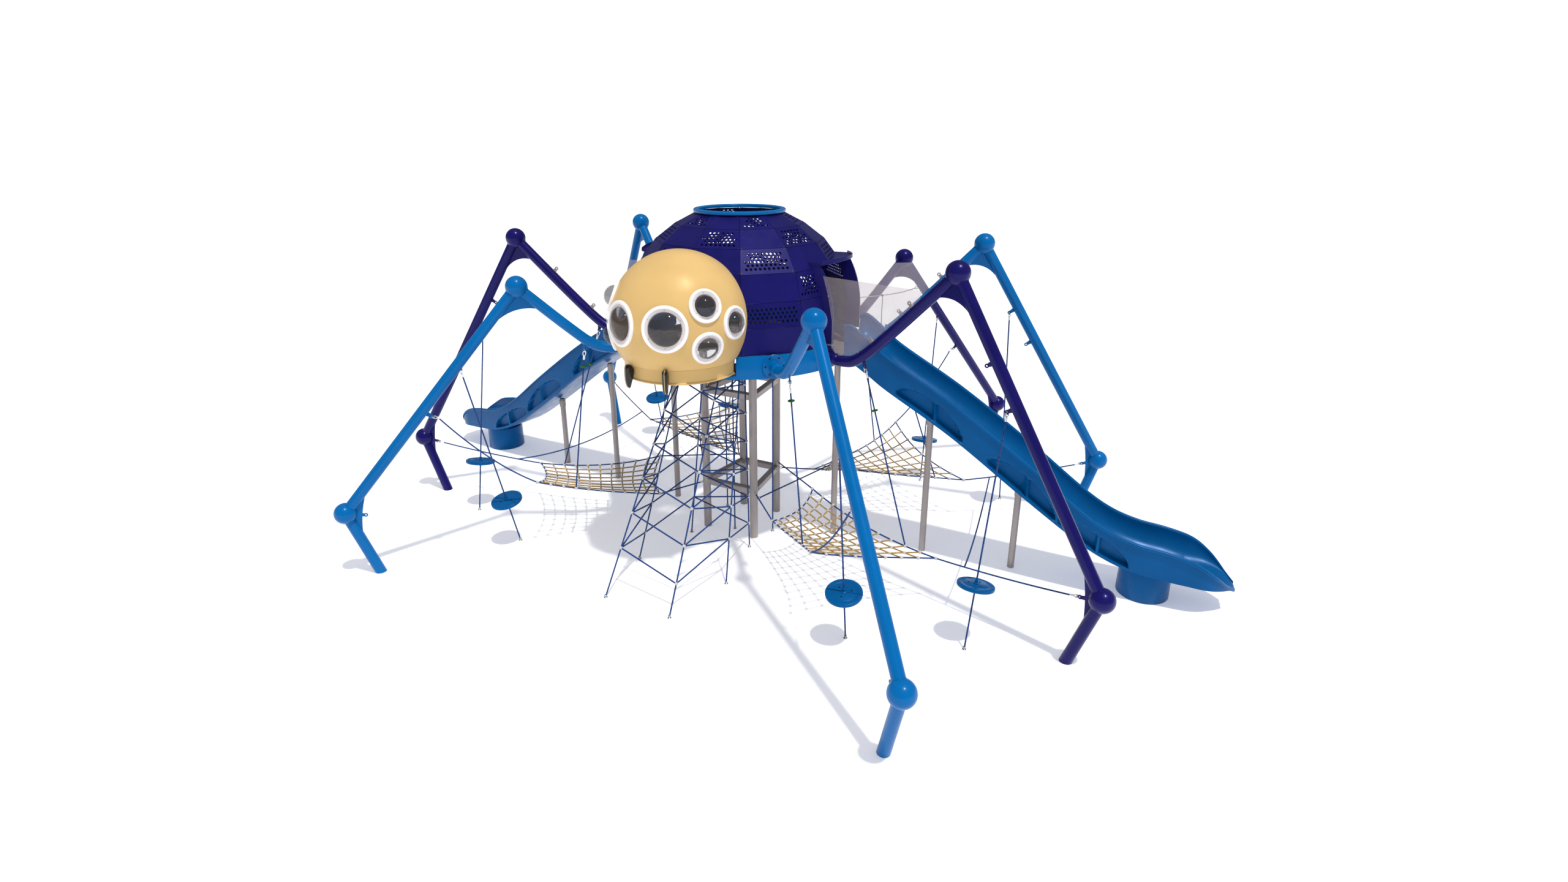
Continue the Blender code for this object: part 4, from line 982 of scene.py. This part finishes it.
def build_head():
    foot_turn = pi - asin(sqrt(HEAD_R ** 2 - (HEAD_MID.z - HEAD_FOOT_Z) ** 2) / HEAD_R)
    outer, inner, rows = [], [], 44
    for k in range(rows + 1):
        t = foot_turn * k / rows
        outer.append((HEAD_R * sin(t), HEAD_R * cos(t)))
        inner.append(((HEAD_R - 0.014) * sin(t), (HEAD_R - 0.014) * cos(t)))
    lip = outer[-1]
    profile = outer[:-1] + [(lip[0], lip[1] + 0.004), (lip[0] - 0.004, lip[1]),
                            (inner[-1][0] + 0.001, lip[1])]
    shell = Shape().add(lathe(profile + inner[-2::-1], 112), "beige_plastic", Matrix.Translation(HEAD_MID))
    cutters = Shape()
    for turn, tilt, _, window_r, _ in EYES.values():
        for sign in (1, -1):
            tool = lathe([(0, -0.12), (window_r * 0.99, -0.12), (window_r * 0.99, 0.06), (0, 0.06)], 40)
            cutters.add(tool, "beige_edge", eye_place(sign * turn, tilt))
    data = boolean(shell.mesh("head_ball"), cutters.mesh("head_windows"))
    back = Shape()
    clear = tier_rings(DOME_R + 0.002)
    back.add(lathe([(0, 2.2), (clear[0][0], 2.2)] + clear[1:] + [(0, clear[-1][1])], 12), "beige_edge")
    data = boolean(data, back.mesh("dome_clearance"))
    data.shade_smooth()
    data.set_sharp_from_angle(angle=radians(30))
    put("head_bubble", data, ["head_shell"])

    tub = Shape()
    top = HEAD_FOOT_Z - 0.004
    low = TUB_LOW_Z
    tub.add(lathe([(TUB_R - 0.012, top), (TUB_R + 0.006, top), (TUB_R + 0.008, top - 0.004),
                   (TUB_R + 0.004, top - 0.010), (TUB_R, top - 0.014), (TUB_R - 0.004, low + 0.030),
                   (TUB_R + 0.006, low + 0.024), (TUB_R + 0.010, low + 0.014), (TUB_R + 0.006, low + 0.004),
                   (TUB_R - 0.010, low), (0, low), (0, low + 0.014), (TUB_R - 0.030, low + 0.016),
                   (TUB_R - 0.014, low + 0.034)], 128, closed=True), "beige_plastic",
            Matrix.Translation((0, HEAD_MID.y, 0)))
    keep = Shape().add(lathe([(0, 2.3), (SKIRT_R + 0.001, 2.3), (SKIRT_R + 0.001, 3.2), (0, 3.2)], 144),
                       "beige_edge")
    data = boolean(tub.mesh("tub"), keep.mesh("skirt_clearance"))
    data.set_sharp_from_angle(angle=radians(40))
    put("head_tub_shell", data, ["head_tub"])

    for name, (turn, tilt, ring_r, window_r, bulge) in EYES.items():
        band_r = window_r + (ring_r - window_r) * 0.48
        eye = Shape()

        def drop(radius):
            return sqrt(HEAD_R ** 2 - radius ** 2) - HEAD_R
        seat = drop(ring_r) + 0.001
        profile = [(window_r, drop(window_r) - 0.020), (ring_r - 0.004, seat - 0.006), (ring_r, seat + 0.004),
                   (ring_r, seat + 0.020)]
        crown = seat + 0.034
        for k in range(7):
            t = pi / 2 * k / 6
            profile.append((ring_r - 0.014 + 0.014 * cos(t), seat + 0.020 + 0.014 * sin(t)))
        profile += [(band_r + 0.010, crown), (band_r + 0.004, crown - 0.002), (band_r, crown - 0.007)]
        step = len(profile)
        profile += [(window_r + 0.006, crown - 0.008), (window_r, crown - 0.012)]
        verts, faces, _ = lathe(profile, 96, closed=True)
        whites = [f for i, f in enumerate(faces) if i // 96 < step - 1]
        bands = [f for i, f in enumerate(faces) if i // 96 >= step - 1]
        eye.add((verts, whites, None), "white_plastic")
        eye.add((verts, bands, None), "pale_band")
        middle = (band_r + window_r) / 2 + 0.003
        add_bolts(eye, 6, middle, Matrix.Translation((0, 0, crown - 0.009)), "dark_bolt", 0.0048, pi / 2)
        lens = Shape()
        depth = window_r * bulge
        rise = [(window_r - 0.002) * cos(pi / 2 * k / 14) for k in range(15)]
        outside = [(r, crown - 0.012 + depth * sin(pi / 2 * k / 14)) for k, r in enumerate(rise)]
        inside = [(max(r - 0.004, 0), z - 0.004) for r, z in outside]
        lens.add(lathe([(window_r - 0.002, crown - 0.030)] + outside[:-1] + [(0, outside[-1][1])]
                       + [(0, inside[-1][1])] + inside[-2::-1] + [(window_r - 0.006, crown - 0.030)], 72,
                       closed=False), "lens")
        ring_mesh, lens_mesh = eye.mesh(f"eye_ring_{name}"), lens.mesh(f"eye_lens_{name}")
        for side, sign in SIDES:
            place = eye_place(sign * turn, tilt)
            put(f"eye_ring_{name}_{side}", ring_mesh, [f"eye_{side}_{name}"], place=place)
            put(f"eye_lens_{name}_{side}", lens_mesh, place=place)

    outline = smooth_path([Vector((x, z, 0)) for x, z in
                           ((-0.042, 0.085), (0.000, 0.118), (0.046, 0.100), (0.058, 0.020), (0.056, -0.080),
                            (0.034, -0.160), (0.004, -0.168), (-0.020, -0.110), (-0.050, -0.030),
                            (-0.058, 0.030), (-0.042, 0.085))], 5)[:-1]
    fang = Shape()
    fang.add(plate([(p.x, p.y) for p in outline], 0.058, 0.012), "black_gloss")
    fang.add(plate([(p.x * 1.012, p.y * 1.006) for p in outline], 0.008, 0.002), "beige_edge")
    data = fang.mesh("fang", 50)
    for side, sign in SIDES:
        out = polar(sign * 20.0, TUB_R + 0.063, 0)
        place = Matrix.Translation((out.x, HEAD_MID.y + out.y, 2.876)) @ turn_z(sign * 20.0)
        put(f"fang_{side}_hook", data, [f"fang_{side}"], place=place)


# ---------------------------------------------------------------- slides

def pocket_depth(s, rise):
    """How far the slide's side is pressed in, by distance along it and share of its height."""
    depth = 0.0
    for joint in SLIDE_JOINTS:
        for sign, length in ((-1, 0.50), (1, 0.38)):
            x = (s - joint) * sign
            if not 0.018 < x < length:
                continue
            top = 0.10 + 0.60 * sqrt(max(0.0, 1 - (x / length) ** 2))
            edge = min((x - 0.018) / 0.012, (top - rise) / 0.03, (rise - 0.10) / 0.03)
            depth = max(depth, min(max(edge, 0.0), 1.0))
    return depth * (0.040 + 0.050 * (1 - rise))


def slide_row(s, rim, low):
    """Section of the slide: rounded rims, pressed sides and a round bed; its exit rounds in."""
    into_exit = max(0.0, (s - EXIT_STARTS) / (SLIDE_PROFILE[-1][0] - EXIT_STARTS))
    half = SLIDE_W / 2 - EXIT_NARROWS * into_exit ** 2.4
    depth = min(0.34, max(rim - low - 0.034, 0.012))
    wall = []
    count = 26
    for k in range(count + 1):
        t = k / count
        z = low + 0.05 * (rim - low) + (rim - 0.028 - low - 0.05 * (rim - low)) * t
        spread = half - 0.018 - 0.016 * (1 - t)
        wall.append((spread - pocket_depth(s, t), z))
    roll = [(half - 0.024 + 0.024 * cos(a), rim - 0.024 + 0.024 * sin(a))
            for a in [radians(d) for d in range(-40, 171, 15)]]
    inner = []
    bed = half - 0.058
    for k in range(25):
        t = pi / 2 * k / 24
        across = bed * cos(t) ** 0.9 if k < 24 else 0.0
        inner.append((across, rim - 0.020 - (depth - 0.020) * sin(t) ** 0.85))
    foot = [(0.0, low), (half - 0.110, low), (half - 0.070, low + 0.006), (half - 0.050, low + 0.018)]
    right = foot + wall + roll + inner
    left = [(-y, z) for y, z in right[-2:0:-1]]
    return [Vector((s, y, z)) for y, z in right + left]


def build_slides():
    points = smooth_path([Vector(p) for p in SLIDE_PROFILE], 24)
    rows = [slide_row(p.x, p.y, p.z) for p in points]
    body = Shape().add(loft(rows), "blue_plastic")
    drum = [(0, 0), (DRUM_R - 0.006, 0), (DRUM_R, 0.006), (DRUM_R * 0.985, 0.34), (DRUM_R * 0.97, 0.40),
            (0, 0.40)]
    body.add(lathe(drum, 96), "blue_plastic", Matrix.Translation((DRUM_AT, 0, 0)))
    data = body.mesh("slide_body", 50)
    for name, side in SIDES:
        put(f"slide_body_{name}", data, [f"slide_{name}"], place=door_axis(side))
        posts = Shape()
        for number, at in enumerate(SLIDE_POSTS_AT, 1):
            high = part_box(f"slide_{name}_post_{number}")[1].z
            posts.add(sweep([(at, 0, high * k / 6) for k in range(7)], SLIDE_POST_D / 2, 40), "post_grey")
            wall = SLIDE_POST_D / 2
            collar = [(wall + 0.001, high - 0.14), (wall + 0.008, high - 0.136), (wall + 0.008, high - 0.02),
                      (wall + 0.001, high - 0.016)]
            posts.add(lathe(collar, 40, closed=True), "post_grey", Matrix.Translation((at, 0, 0)))
        put(f"slide_posts_{name}", posts.mesh(f"slide_posts_{name}"),
            [f"slide_{name}_post_{number}" for number in (1, 2, 3)], place=door_axis(side))


# ---------------------------------------------------------------- tower

def build_tower():
    corners = [(-TOWER_FRONT[0], TOWER_FRONT[1]), TOWER_FRONT, TOWER_BACK, (-TOWER_BACK[0], TOWER_BACK[1])]
    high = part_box("tower_frame")[1].z
    tower = Shape()
    for x, y in corners:
        tower.add(sweep([(x, y, high * k / 8) for k in range(9)], POST_D / 2, 48), "post_grey")
        cap = POST_D / 2
        profile = [(cap + 0.001, high - 0.016), (cap + 0.040, high - 0.016), (cap + 0.042, high - 0.014),
                   (cap + 0.042, high - 0.003), (cap + 0.040, high - 0.001), (cap + 0.001, high - 0.001)]
        tower.add(lathe(profile, 40, closed=True), "post_grey", Matrix.Translation((x, y, 0)))
    for height in BEAM_HEIGHTS:
        for (ax, ay), (bx, by) in zip(corners, corners[1:] + corners[:1]):
            a, b = Vector((ax, ay, height)), Vector((bx, by, height))
            run = (b - a).normalized()
            side = run.cross(Vector((0, 0, 1))).normalized()
            h, c = BEAM_W / 2, 0.010
            section = [(-h + c, -h), (h - c, -h), (h, -h + c), (h, h - c), (h - c, h), (-h + c, h),
                       (-h, h - c), (-h, -h + c)]
            ends = [[p + side * y + Vector((0, 0, z)) for y, z in section] for p in (a, b)]
            tower.add(loft(ends), "post_grey")
            for p, way in ((a, run), (b, -run)):
                spot = p + way * (POST_D / 2 + 0.03)
                for s in (-1, 1):
                    tower.add(bolt_head(0.011, 0.007), "bolt_steel", along(side * s, spot + side * s * h))
    put("tower_posts", tower.mesh("tower_posts"), ["tower_frame"])


# ---------------------------------------------------------------- nets

def net_point(corners, u, v):
    back_in, back_out, front_out, front_in = corners
    pu = u + NET_EDGE_PULL * 4 * v * (1 - v) * (1 - 2 * u)
    pv = v + NET_EDGE_PULL * 4 * u * (1 - u) * (1 - 2 * v)
    flat = (back_in * (1 - pu) * (1 - pv) + back_out * pu * (1 - pv) + front_out * pu * pv
            + front_in * (1 - pu) * pv)
    return flat - Vector((0, 0, NET_SAG * 4 * (u * (1 - u) + v * (1 - v)) / 2))


def flip(point, sign):
    return Vector((point.x * sign, point.y, point.z))


def build_net(front, side, sign, joins):
    """One net with its border, clamps and ties; joins keeps where the rope under the slide starts."""
    where = f"{'front' if front else 'back'}_{side}"
    node = f"net_{where}"
    low_leg, high_leg = ("1", "2") if front else ("4", "3")
    corners = []
    for angle, distance, height in NET_CORNERS:
        turn = angle if front else 2 * NET_MIRROR_ANGLE - angle
        corners.append(flip(polar(turn, distance, height), sign))
    nu, nv = NET_CELLS
    mesh_ropes, border, clamps = Shape(), Shape(), Shape()
    for count, cells, across in ((nu, nv, False), (nv, nu, True)):
        for i in range(count + 1):
            shares = [(i / count, k / (cells * 4)) for k in range(cells * 4 + 1)]
            path = [net_point(corners, *(share[::-1] if across else share)) for share in shares]
            if i in (0, count):
                border.add(sweep(path, ROPE_D / 2, 10), "blue_rope")
            else:
                mesh_ropes.add(sweep(path, ROPE_D / 2, 10), "tan_rope")
    for i in range(nu + 1):
        for j in range(nv + 1):
            edge = i in (0, nu) or j in (0, nv)
            add_clamp(clamps, net_point(corners, i / nu, j / nv), 0.046 if edge else 0.040)
    front_post, back_post = Vector((*TOWER_FRONT, 0)), Vector((*TOWER_BACK, 0))
    near_post, far_post = (front_post, back_post) if front else (back_post, front_post)
    high = Vector((0, 0, 0.85 if front else 0.60))

    def leg(number, r, z):
        return flip(polar(LEG_ANGLES[number], r, z), sign)

    def post_spot(post, corner):
        post = flip(post, sign)
        away = (corner - post)
        away.z = 0
        return post + away.normalized() * (POST_D / 2 + 0.012)

    back_in, back_out, front_out, front_in = corners
    ties = [
        ("inner_high", post_spot(far_post + high, back_in), back_in, 0.0),
        ("inner_low", post_spot(near_post + Vector((0, 0, 0.72)), front_in), front_in, 0.0),
        ("ankle", leg(high_leg, *NET_LUG), back_out, 0.02),
        ("shin", leg(low_leg, *shin_lug("low", 1)), front_out, 0.10),
        ("hanger_high", leg(high_leg, *arm_lug("high")), net_point(corners, 0.8, 0), 0.0),
        ("hanger_low", leg(low_leg, *arm_lug("low")), net_point(corners, 0.7, 1), 0.0),
    ]
    tackle = Shape()
    for name, start, end, sag in ties:
        if "inner" in name:
            run = (end - start).normalized()
            tackle.add(ring_shape(0.020, 0.006), "bright_steel", along(run.orthogonal(), start + run * 0.012))
            spot = start + run * 0.026
        else:
            first = leg(low_leg, *SHIN_TIE_TO) if name == "shin" else rope_path(start, end, sag)[1]
            radial = Vector((start.x, start.y, 0)).normalized()
            reach = ROPE_START if name == "ankle" else HANGER_START if name != "shin" else 0.078
            spot = add_tackle(tackle, start, first, Vector((-radial.y, radial.x, 0)), reach)
        path = rope_path(spot, end, sag)
        if name.startswith("hanger"):
            down = path[-1] - path[0]
            bead = path[0] + down.normalized() * (0.14 if front and name == "hanger_low" else 0.46)
            profile = [(0.0102, -0.012), (0.034, -0.012), (0.043, -0.004), (0.043, 0.004), (0.034, 0.012),
                       (0.0102, 0.012)]
            tackle.add(lathe(profile, 28, closed=True), "green_bead", along(down, bead))
        rope = single_rope(f"net_{where}_{name}", path)
        if name == "ankle" and front:
            joins[side] = path[int(len(path) * JOIN_SHARE)]
        elif name == "ankle":
            under = rope_path(joins[side], path[int(len(path) * JOIN_SHARE)], UNDER_SLIDE_SAG)
            rope = single_rope(f"rope_under_slide_{side}", under)
    put(f"{node}_mesh", mesh_ropes.mesh(f"{node}_mesh", 60), [node])
    put(f"{node}_border", border.mesh(f"{node}_border", 60))
    put(f"{node}_clamps", clamps.mesh(f"{node}_clamps"))
    put(f"{node}_tackle", tackle.mesh(f"{node}_tackle"))


def arm_lug(kind):
    """Radius and height of the lug under an arm."""
    spot = min(arm_path(kind, 9), key=lambda p: abs(p.x - ARM_LUG_R))
    return spot.x + 0.03, spot.z - LEG_D / 2 - 0.060


def step_top(number, sign=1):
    """Foot of a step's rope, and the eye above its top that it hangs from."""
    foot_at, top_at, _ = ROPE_STEPS[number]
    foot = polar(sign * foot_at[0], foot_at[1], 0.006)
    top = polar(sign * top_at[0], top_at[1], top_at[2])
    return foot, top + (top - foot).normalized() * ROPE_START


def step_eye(number):
    eye = step_top(number)[1]
    return hypot(eye.x, eye.y), eye.z


def shin_lug(kind, index):
    knee = KNEES[kind]
    spot = on_line(knee, ANKLE, SHIN_LUG_HEIGHTS[kind][index])
    run = Vector((ANKLE[0] - knee[0], ANKLE[1] - knee[1])).normalized()
    off = Vector((run.y, -run.x)) * (LEG_D / 2 + 0.060)
    return spot.x + off.x, spot.y + off.y


def tunnel_rope(index):
    row = index if index < 3 else 5 - index
    side = 1 if index < 3 else -1
    foot_x, foot_y = TUNNEL_FEET[row]
    top_x, top_y = TUNNEL_TOPS[row]
    return (Vector((side * foot_x, TUNNEL_FOOT_Y + foot_y, 0.012)),
            Vector((side * top_x, HATCH_Y + top_y, TUNNEL_TOP_Z)))


def build_tunnel():
    ropes = [tunnel_rope(i) for i in range(6)]

    def at(index, height):
        foot, top = ropes[index % 6]
        return foot.lerp(top, (height - foot.z) / (top.z - foot.z))

    lacing, clamps, fittings = Shape(), Shape(), Shape()
    for i, (foot, top) in enumerate(ropes):
        path = rope_path(top, foot, 0.0, 0.08)
        replaced = ["tunnel_net"] if i == 0 else ()
        rope = single_rope(f"tunnel_rope_{i + 1}", path, replaces=replaced)
        ground_fitting(f"tunnel_foot_{i + 1}", foot)
        ferrule = [(ROPE_HOLE_R, 0), (0.015, 0.004), (0.015, 0.050), (ROPE_HOLE_R, 0.054)]
        fittings.add(lathe(ferrule, 18, closed=True), "ferrule_white", along(foot - top, top))
        fittings.add(ring_shape(0.018, 0.005), "bright_steel",
                     Matrix.Translation(top + Vector((0, 0, 0.004))) @ QUARTER_X)
        for level in TUNNEL_LEVELS:
            add_clamp(clamps, at(i, level + (TUNNEL_ZIGZAG if i % 2 else 0)), 0.044)
    for level in TUNNEL_LEVELS:
        for i in range(6):
            low, high = (level, level + TUNNEL_ZIGZAG)[::1 if i % 2 == 0 else -1]
            lacing.add(sweep(rope_path(at(i, low), at(i + 1, high)), ROPE_D / 2, 10), "blue_rope")
            above = low + (TUNNEL_LEVELS[1] - TUNNEL_LEVELS[0])
            if i % 2 == 0 and above < TUNNEL_TOP_Z - 0.1:
                lacing.add(sweep(rope_path(at(i, above), at(i + 1, high)), ROPE_D / 2, 10), "blue_rope")
    put("tunnel_lacing", lacing.mesh("tunnel_lacing", 60))
    put("tunnel_clamps", clamps.mesh("tunnel_clamps"))
    put("tunnel_fittings", fittings.mesh("tunnel_fittings"))


def build_climb_ropes():
    for number, (x, y) in enumerate(CLIMB_ROPES, 1):
        path = rope_path((x, y, FLOOR_Z - FLOOR_T - 0.004), (x, y, 0.004), 0.0, 0.08)
        rope = single_rope(f"post_rope_{number}", path, replaces=[f"climb_rope_{number}"])
        ground_fitting(f"post_rope_foot_{number}", (x, y))


def build_rope_steps():
    disc = Shape()
    half, edge = STEP_T / 2, STEP_D / 2
    profile = [(0.010, -half)]
    for k in range(9):
        t = -pi / 2 + pi * k / 8
        level = (half - 0.014) * (1 if t > 0 else -1)
        profile.append((edge - 0.014 + 0.014 * cos(t), level + 0.014 * sin(t)))
    profile += [(edge - 0.060, half), (edge - 0.064, half - 0.0025), (edge - 0.068, half), (0.010, half)]
    disc.add(lathe(profile, 96, closed=True), "blue_plastic")
    hub = [(ROPE_HOLE_R, half), (0.034, half), (0.034, half + 0.006), (0.020, half + 0.014),
           (0.018, half + 0.045), (ROPE_HOLE_R, half + 0.048)]
    disc.add(lathe(hub, 36, closed=True), "blue_plastic")
    disc.add(lathe([(r, -z) for r, z in hub][::-1], 36, closed=True), "blue_plastic")
    add_bolts(disc, 3, 0.085, Matrix.Translation((0, 0, half)), "dark_bolt", 0.0085, 0.4)
    # painted shade: a thin navy strip stands on the disc's top along its slit, for the shade inside the gap
    slit_shade_strip = [(0.02, half - 0.001), (edge - 0.002, half - 0.001), (edge - 0.002, half + 0.0012),
            (0.02, half + 0.0012)]
    disc.add(plate(slit_shade_strip, 0.006, 0.0004), "navy_paint")
    data = disc.mesh("step_disc", 40)
    for number, (foot_at, top_at, step_z) in ROPE_STEPS.items():
        for side, sign in SIDES:
            foot = polar(sign * foot_at[0], foot_at[1], 0.006)
            top = polar(sign * top_at[0], top_at[1], top_at[2])
            axis = along(top - foot, foot)
            length = (top - foot).length
            at = length * (step_z - foot.z) / (top.z - foot.z)
            body = f"step_{side}_{number}"
            put(f"step_disc_{side}_{number}", data, [f"rope_step_{side}_{number}"], body,
                axis @ Matrix.Translation((0, 0, at)))
            spot = step_top(number, sign)[1]
            tackle = Shape()
            radial = Vector((spot.x, spot.y, 0)).normalized()
            begin = add_tackle(tackle, spot, foot, Vector((-radial.y, radial.x, 0)))
            put(f"step_tackle_{side}_{number}", tackle.mesh("step_tackle"))
            path = rope_path(begin, foot, 0.0, 0.06)
            rope = single_rope(f"step_rope_{side}_{number}", path, body)
            ground_fitting(f"step_foot_{side}_{number}", foot)


# ---------------------------------------------------------------- floor, light, camera

def build_stage():
    bm = bmesh.new()
    bmesh.ops.create_grid(bm, x_segments=24, y_segments=24, size=80)
    data = bpy.data.meshes.new("studio_floor")
    bm.to_mesh(data)
    bm.free()
    tree, shader = start_material("studio_floor")
    tone = remap(tree, noise_at(tree, 0.4), 0.0, 1.0)
    tree.links.new(two_tone(tree, tone, (0.87, 0.87, 0.88), (0.90, 0.90, 0.90)), shader.inputs["Base Color"])
    shader.inputs["Roughness"].default_value = 0.9
    shader.inputs["Specular IOR Level"].default_value = 0.1
    shader.inputs["Emission Color"].default_value = (0.86, 0.89, 1.0, 1)
    shader.inputs["Emission Strength"].default_value = 0.30
    data.materials.append(M["studio_floor"])
    floor = bpy.data.objects.new("studio_floor", data)
    floor.location.z = -0.0005
    bpy.context.scene.collection.objects.link(floor)

    world = bpy.context.scene.world or bpy.data.worlds.new("studio")
    bpy.context.scene.world = world
    world.use_nodes = True
    tree = world.node_tree
    tree.nodes.clear()
    path = tree.nodes.new("ShaderNodeLightPath")
    shader = None
    for strength, ray in ((FILL_STRENGTH, None), (GLOSS_STRENGTH, "Is Glossy Ray"),
                          (BACKDROP_STRENGTH, "Is Camera Ray")):
        light = tree.nodes.new("ShaderNodeBackground")
        light.inputs["Color"].default_value = (0.95, 0.96, 1.0, 1) if ray is None else (1, 1, 1, 1)
        light.inputs["Strength"].default_value = strength
        if ray:
            mix = tree.nodes.new("ShaderNodeMixShader")
            tree.links.new(path.outputs[ray], mix.inputs[0])
            tree.links.new(shader, mix.inputs[1])
            tree.links.new(light.outputs[0], mix.inputs[2])
            light = mix
        shader = light.outputs[0]
    tree.links.new(shader, tree.nodes.new("ShaderNodeOutputWorld").inputs[0])

    light = bpy.data.lights.new("sun", "SUN")
    light.energy = SUN_STRENGTH
    light.angle = radians(2.5)
    light.color = (1.0, 0.97, 0.93)
    sun = bpy.data.objects.new("sun", light)
    sun.matrix_world = along(SUN_FROM)
    bpy.context.scene.collection.objects.link(sun)
    bpy.context.scene.view_settings.view_transform = "Standard"


def build_camera():
    turn, tilt = radians(CAMERA_TURN), radians(CAMERA_TILT)
    back = Vector((sin(turn) * cos(tilt), -cos(turn) * cos(tilt), sin(tilt)))
    right = Vector((cos(turn), sin(turn), 0))
    up = back.cross(right)
    place = Matrix((right, up, back)).transposed().to_4x4()
    place.translation = Vector(CAMERA_AT)
    lens = bpy.data.cameras.new("camera")
    lens.sensor_width = 36.0
    lens.lens = CAMERA_LENS
    lens.shift_x, lens.shift_y = CAMERA_SHIFT
    lens.clip_end = 300
    camera = bpy.data.objects.new("camera", lens)
    camera.matrix_world = AXIS @ place
    bpy.context.scene.collection.objects.link(camera)
    bpy.context.scene.camera = camera


build_camera()
build_stage()
build_legs()
build_dome()
build_doors()
build_screens()
build_head()
build_slides()
build_tower()
rope_joins = {}
for side_name, side_sign in SIDES:
    build_net(True, side_name, side_sign, rope_joins)
    build_net(False, side_name, side_sign, rope_joins)
build_tunnel()
build_climb_ropes()
build_rope_steps()
